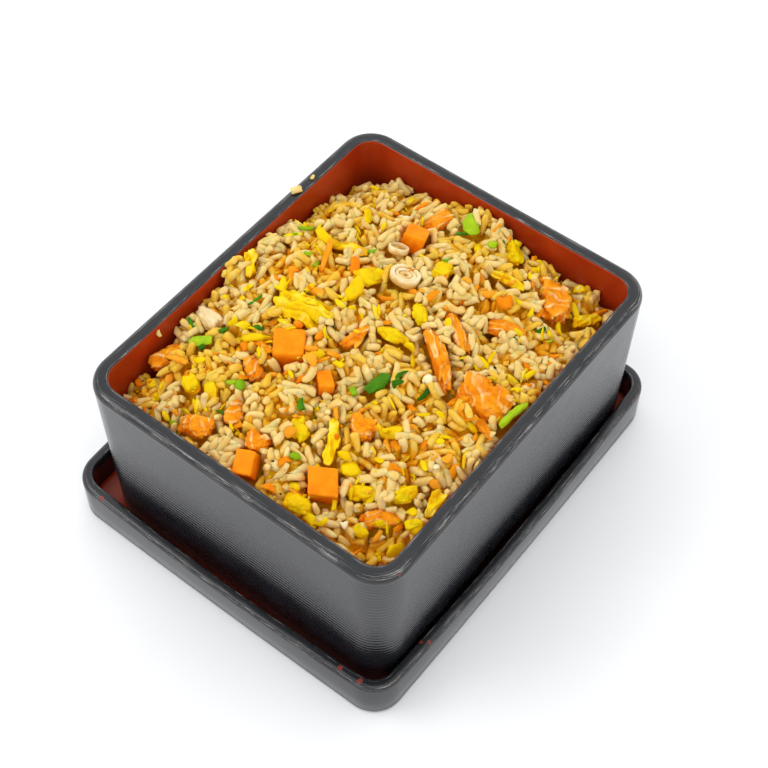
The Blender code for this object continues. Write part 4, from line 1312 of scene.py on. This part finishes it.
def make_core(top, raised, tones):
    """Top from the map, straight sides, flat bottom."""
    bm = bmesh.new()
    bmesh.ops.create_grid(bm, x_segments=CORE_CELLS[0], y_segments=CORE_CELLS[1], size=1.0)
    local = bm.loops.layers.uv.new("local")
    for vert in bm.verts:
        x, y = vert.co.x * CORE_GRID[0], vert.co.y * CORE_GRID[1]
        x, y = squeeze(x, y, CORE_HALF_X, CORE_HALF_Y, CORE_CORNER)
        wall = max(abs(x) - CORE_EDGE_X, abs(y) - CORE_EDGE_Y, 0.0)
        vert.co = Vector((x, y, between_cells(top, x, y) - CORE_EDGE_FALL * wall))
    bmesh.ops.remove_doubles(bm, verts=bm.verts[:], dist=0.01)
    for face in bm.faces:
        for loop in face.loops:
            x, y = loop.vert.co.x, loop.vert.co.y
            loop[local].uv = between_cells(tones, x, y), between_cells(raised, x, y)
    skirt = [edge for edge in bm.edges if edge.is_boundary]
    lower = bmesh.ops.extrude_edge_only(bm, edges=skirt)["geom"]
    for item in lower:
        if isinstance(item, bmesh.types.BMVert):
            item.co.z = CORE_BOTTOM
    bmesh.ops.contextual_create(bm, geom=[item for item in lower if isinstance(item, bmesh.types.BMEdge)])
    return bm


top_map = core_map()
bare_bed = fill_under(np.where(inside_map, height_map, goal_map.mean()))
# How high the core stands against its surroundings; its finish paints the low creases amber, partly oil and partly
# painted shade.
coarse_map = blur(bare_bed, 300)
smooth_map = 0.82 * blur(bare_bed, 20) + 0.18 * coarse_map
raised_map = np.clip(STAND_MIDDLE + (top_map - smooth_map) / STAND_RANGE, 0.0, 1.0)
core = mesh_piece("rice_core", make_core(top_map, raised_map, bed_tones), (RICE_CORE,), ("rice",),
                  Matrix.Translation(BOX_SHIFT) @ Matrix.Scale(MM, 4))
print("core:", len(core.data.polygons), "faces")

# %% [markdown]
# ## Filling the gaps
# Where neither a grain nor a topping lies, the core would show as a smooth patch. So shorter grains are dropped
# there, in a few rounds that each look for what is still bare.

# %% Filling the gaps
height_map = np.where(inside_map, np.maximum(height_map, top_map), height_map)
gap_grains = []
for _ in range(3):
    in_sight = inside_map & ~covered_map & (height_map < top_map + 0.3)
    bare = np.argwhere(in_sight[REACH:-REACH, REACH:-REACH]) + REACH
    print("core in sight:", round(100.0 * len(bare) / inside_map.sum()), "%")
    gap_grains += drop_grains(100, 8, 4.6, 1.6, bare, 0.8)
print(len(gap_grains), "grains in the gaps")

# %% [markdown]
# ## Grain shape
# A cooked grain is a plump rod with blunt ends, slightly bent, tapered and dented, and no two are alike. All
# grains share one net of points, and every grain's own length, width, bend and dents are worked out for all
# grains at once. A second net makes the small bits, which are squarer than grains and mostly lumpier.

# %% Grain mesh


def rod_net(stops, sides, blunt):
    """Unit net of a rod along X: points and faces; blunt sets how full its ends are."""
    points = [(-1.0, 0.0, 0.0)]
    for along in stops:
        width = math.sqrt(1.0 - abs(along) ** blunt)
        for side in range(sides):
            angle = math.tau * side / sides
            points.append((along, width * math.cos(angle), width * math.sin(angle)))
    points.append((1.0, 0.0, 0.0))
    faces = []
    last, rings = len(points) - 1, len(stops)
    for side in range(sides):
        after = (side + 1) % sides
        faces.append((0, 1 + after, 1 + side))
        for ring in range(rings - 1):
            a, b = 1 + ring * sides, 1 + (ring + 1) * sides
            faces.append((a + side, a + after, b + after, b + side))
        a = 1 + (rings - 1) * sides
        faces.append((last, a + side, a + after))
    return np.array(points), faces


def rod_points(net, items, bend=0.15, taper=0.18, wobble=0.13, square=0.9):
    """Points of all rods in metres."""
    count = len(items)
    middles = np.array([item[0] for item in items])
    spins = np.array([item[1] for item in items])
    halves = np.array([item[2] for item in items])
    points = np.repeat(net[None], count, 0)
    points[:, :, 1:] = np.sign(points[:, :, 1:]) * np.abs(points[:, :, 1:]) ** square
    along = points[:, :, 0].copy()
    points[:, :, 1:] *= (1.0 - dice.uniform(-taper, taper, count)[:, None] * along)[:, :, None]
    bends = dice.normal(0.0, bend, (count, 2))
    points[:, :, 1] += 2.0 * bends[:, :1] * (along ** 2 - 0.3)
    points[:, :, 2] += 1.2 * bends[:, 1:] * (along ** 2 - 0.3)
    for rate in (1.7, 3.6):
        ways = dice.normal(0.0, 1.0, (count, 3, 3)) * rate
        phase = dice.uniform(0.0, math.tau, (count, 1, 3))
        points += wobble * np.sin(np.einsum("nvj,nij->nvi", points, ways) + phase) / (0.6 * rate)
    points *= halves[:, None, :]
    points = np.einsum("nij,nvj->nvi", spins, points) + middles[:, None, :]
    return points * MM + np.array(BOX_SHIFT)


def stand(points):
    """How high points stand against the smoothed surface, from 0 in a crease to 1 on top."""
    i = np.rint(((points[..., 0] - BOX_SHIFT.x) / MM + MAP_HALF_X) / CELL).astype(int)
    j = np.rint(((points[..., 1] - BOX_SHIFT.y) / MM + MAP_HALF_Y) / CELL).astype(int)
    return np.clip(STAND_MIDDLE + (points[..., 2] / MM - smooth_map[i, j]) / STAND_RANGE, 0.0, 1.0)


def rod_piece(name, items, finish, slot, net, **shape):
    """One mesh of all rods of a kind, which stands for part of the heap."""
    points, faces = net
    placed = rod_points(points, items, **shape)
    all_faces = []
    for base in range(0, len(items) * len(points), len(points)):
        all_faces.extend([tuple(base + corner for corner in face) for face in faces])
    mesh = bpy.data.meshes.new(name)
    mesh.from_pydata(placed.reshape(-1, 3).tolist(), [], all_faces)
    corners = np.empty(len(mesh.loops), dtype=np.int32)
    mesh.loops.foreach_get("vertex_index", corners)
    # How high each point stands; low points of grains take the soaked colour, partly oil and partly painted shade.
    raised = stand(placed).reshape(-1)[corners]
    local = mesh.uv_layers.new(name="local")
    local.data.foreach_set("uv", np.stack((np.full(len(corners), 0.5), raised), 1).astype(np.float32).ravel())
    print(name, len(items), "items,", len(items) * sum(len(face) - 2 for face in faces), "triangles")
    make_piece(name, mesh, (finish,), ("rice",))


GRAIN_NET = rod_net((-0.985, -0.92, -0.74, -0.27, 0.27, 0.74, 0.92, 0.985), 8, 7.0)
BIT_NET = rod_net((-0.97, -0.84, -0.5, 0.0, 0.5, 0.84, 0.97), 10, 3.0)

# %% [markdown]
# ## Sorting the grains
# The upper grains are pale; the lower ones are amber and the middling ones golden, partly from the oil and stock
# they sit in and partly as painted shade in the hollows of the heap. Grains of a clump with much egg are golden
# too. So a grain's finish depends on how high it lies against the heap's average surface and on its tone. Grains
# of the bed that the core hides are left out.

# %% Rice
AMBER_BELOW, GOLD_BELOW, EGGY_BELOW = 0.36, 0.55, 0.50
HIGH_MIDDLE, HIGH_RANGE, GRAIN_TOP = 0.58, 3.6, 0.6
GRAIN_FINISHES = {"pale": RICE_PALE, "gold": RICE_GOLD, "amber": RICE_AMBER}


def stands_out(place, spin, half):
    """Whether a grain's middle or either end shows above the core."""
    for share in (-0.8, 0.0, 0.8):
        spot = np.array(place) + share * half[0] * spin[:, 0]
        if spot[2] + (1.0 - 0.6 * abs(share)) * half[2] > top_map[cell_of(spot[0], spot[1])] + 0.15:
            return True
    return False


seen = [grain for grain in bed_grains if stands_out(*grain[:3])]
print(len(seen), "of", len(bed_grains), "grains of the bed show")
sorted_grains = {kind: [] for kind in GRAIN_FINISHES}
for place, spin, half, tone in seen + loose_grains + gap_grains:
    # Low grains get the amber and golden finishes: partly oil and stock, partly painted shade.
    above = place[2] + GRAIN_TOP - coarse_map[cell_of(place[0], place[1])]
    high = HIGH_MIDDLE + above / HIGH_RANGE + dice.normal(0.0, 0.06)
    golden = high < GOLD_BELOW or tone < EGGY_BELOW
    kind = "amber" if high < AMBER_BELOW else "gold" if golden else "pale"
    sorted_grains[kind].append((place, spin, half))
for kind, items in sorted_grains.items():
    rod_piece("rice_grains_" + kind, items, GRAIN_FINISHES[kind], "rice", GRAIN_NET)

# %% [markdown]
# Crumbs of carrot keep the knife's square section, all others are lumpier.

# %% Bits
EVEN = {"bend": 0.15, "taper": 0.2, "wobble": 0.10}
LUMPY = {"bend": 0.25, "taper": 0.3, "wobble": 0.22}
for name, bits, finish, slot, square, shape in (
        ("egg_bits", egg_bits, EGG, "egg", 0.8, LUMPY),
        ("carrot_bits", carrot_bits, CARROT, "carrot", 0.6, EVEN),
        ("salmon_bits", salmon_bits, SALMON, "salmon", 0.8, LUMPY),
        ("green_onion_bits_dark", dark_green_bits, GREEN_DARK, "green_onion", 0.7, LUMPY),
        ("green_onion_bits_light", light_green_bits, GREEN, "green_onion", 0.7, LUMPY),
        ("egg_white_bits", white_bits, CURD_WHITE, "egg", 0.8, LUMPY),
        ("char_specks", specks, CHAR, "rice", 0.8, LUMPY),
):
    rod_piece(name, bits, finish, slot, BIT_NET, square=square, **shape)

# %% [markdown]
# ## Strays on the rim
# Filling the box left one grain and a crumb on the rim, and a crumb stuck to the wall inside.

# %% Strays
strays = [
    ((32.7, 60.6, 78.0), grain_turn(math.radians(150.0), 0.0, 0.2), np.array((2.1, 1.4, 1.1))),
    ((41.5, 60.4, 77.5), grain_turn(0.3, 0.0, 0.0), np.array((1.0, 0.7, 0.6))),
    ((-43.3, 57.5, 74.0), grain_turn(1.2, 0.9, 0.0), np.array((1.3, 0.7, 0.8))),
]
rod_piece("stray_grains", strays, RICE_PALE, "rice", GRAIN_NET, wobble=0.12)
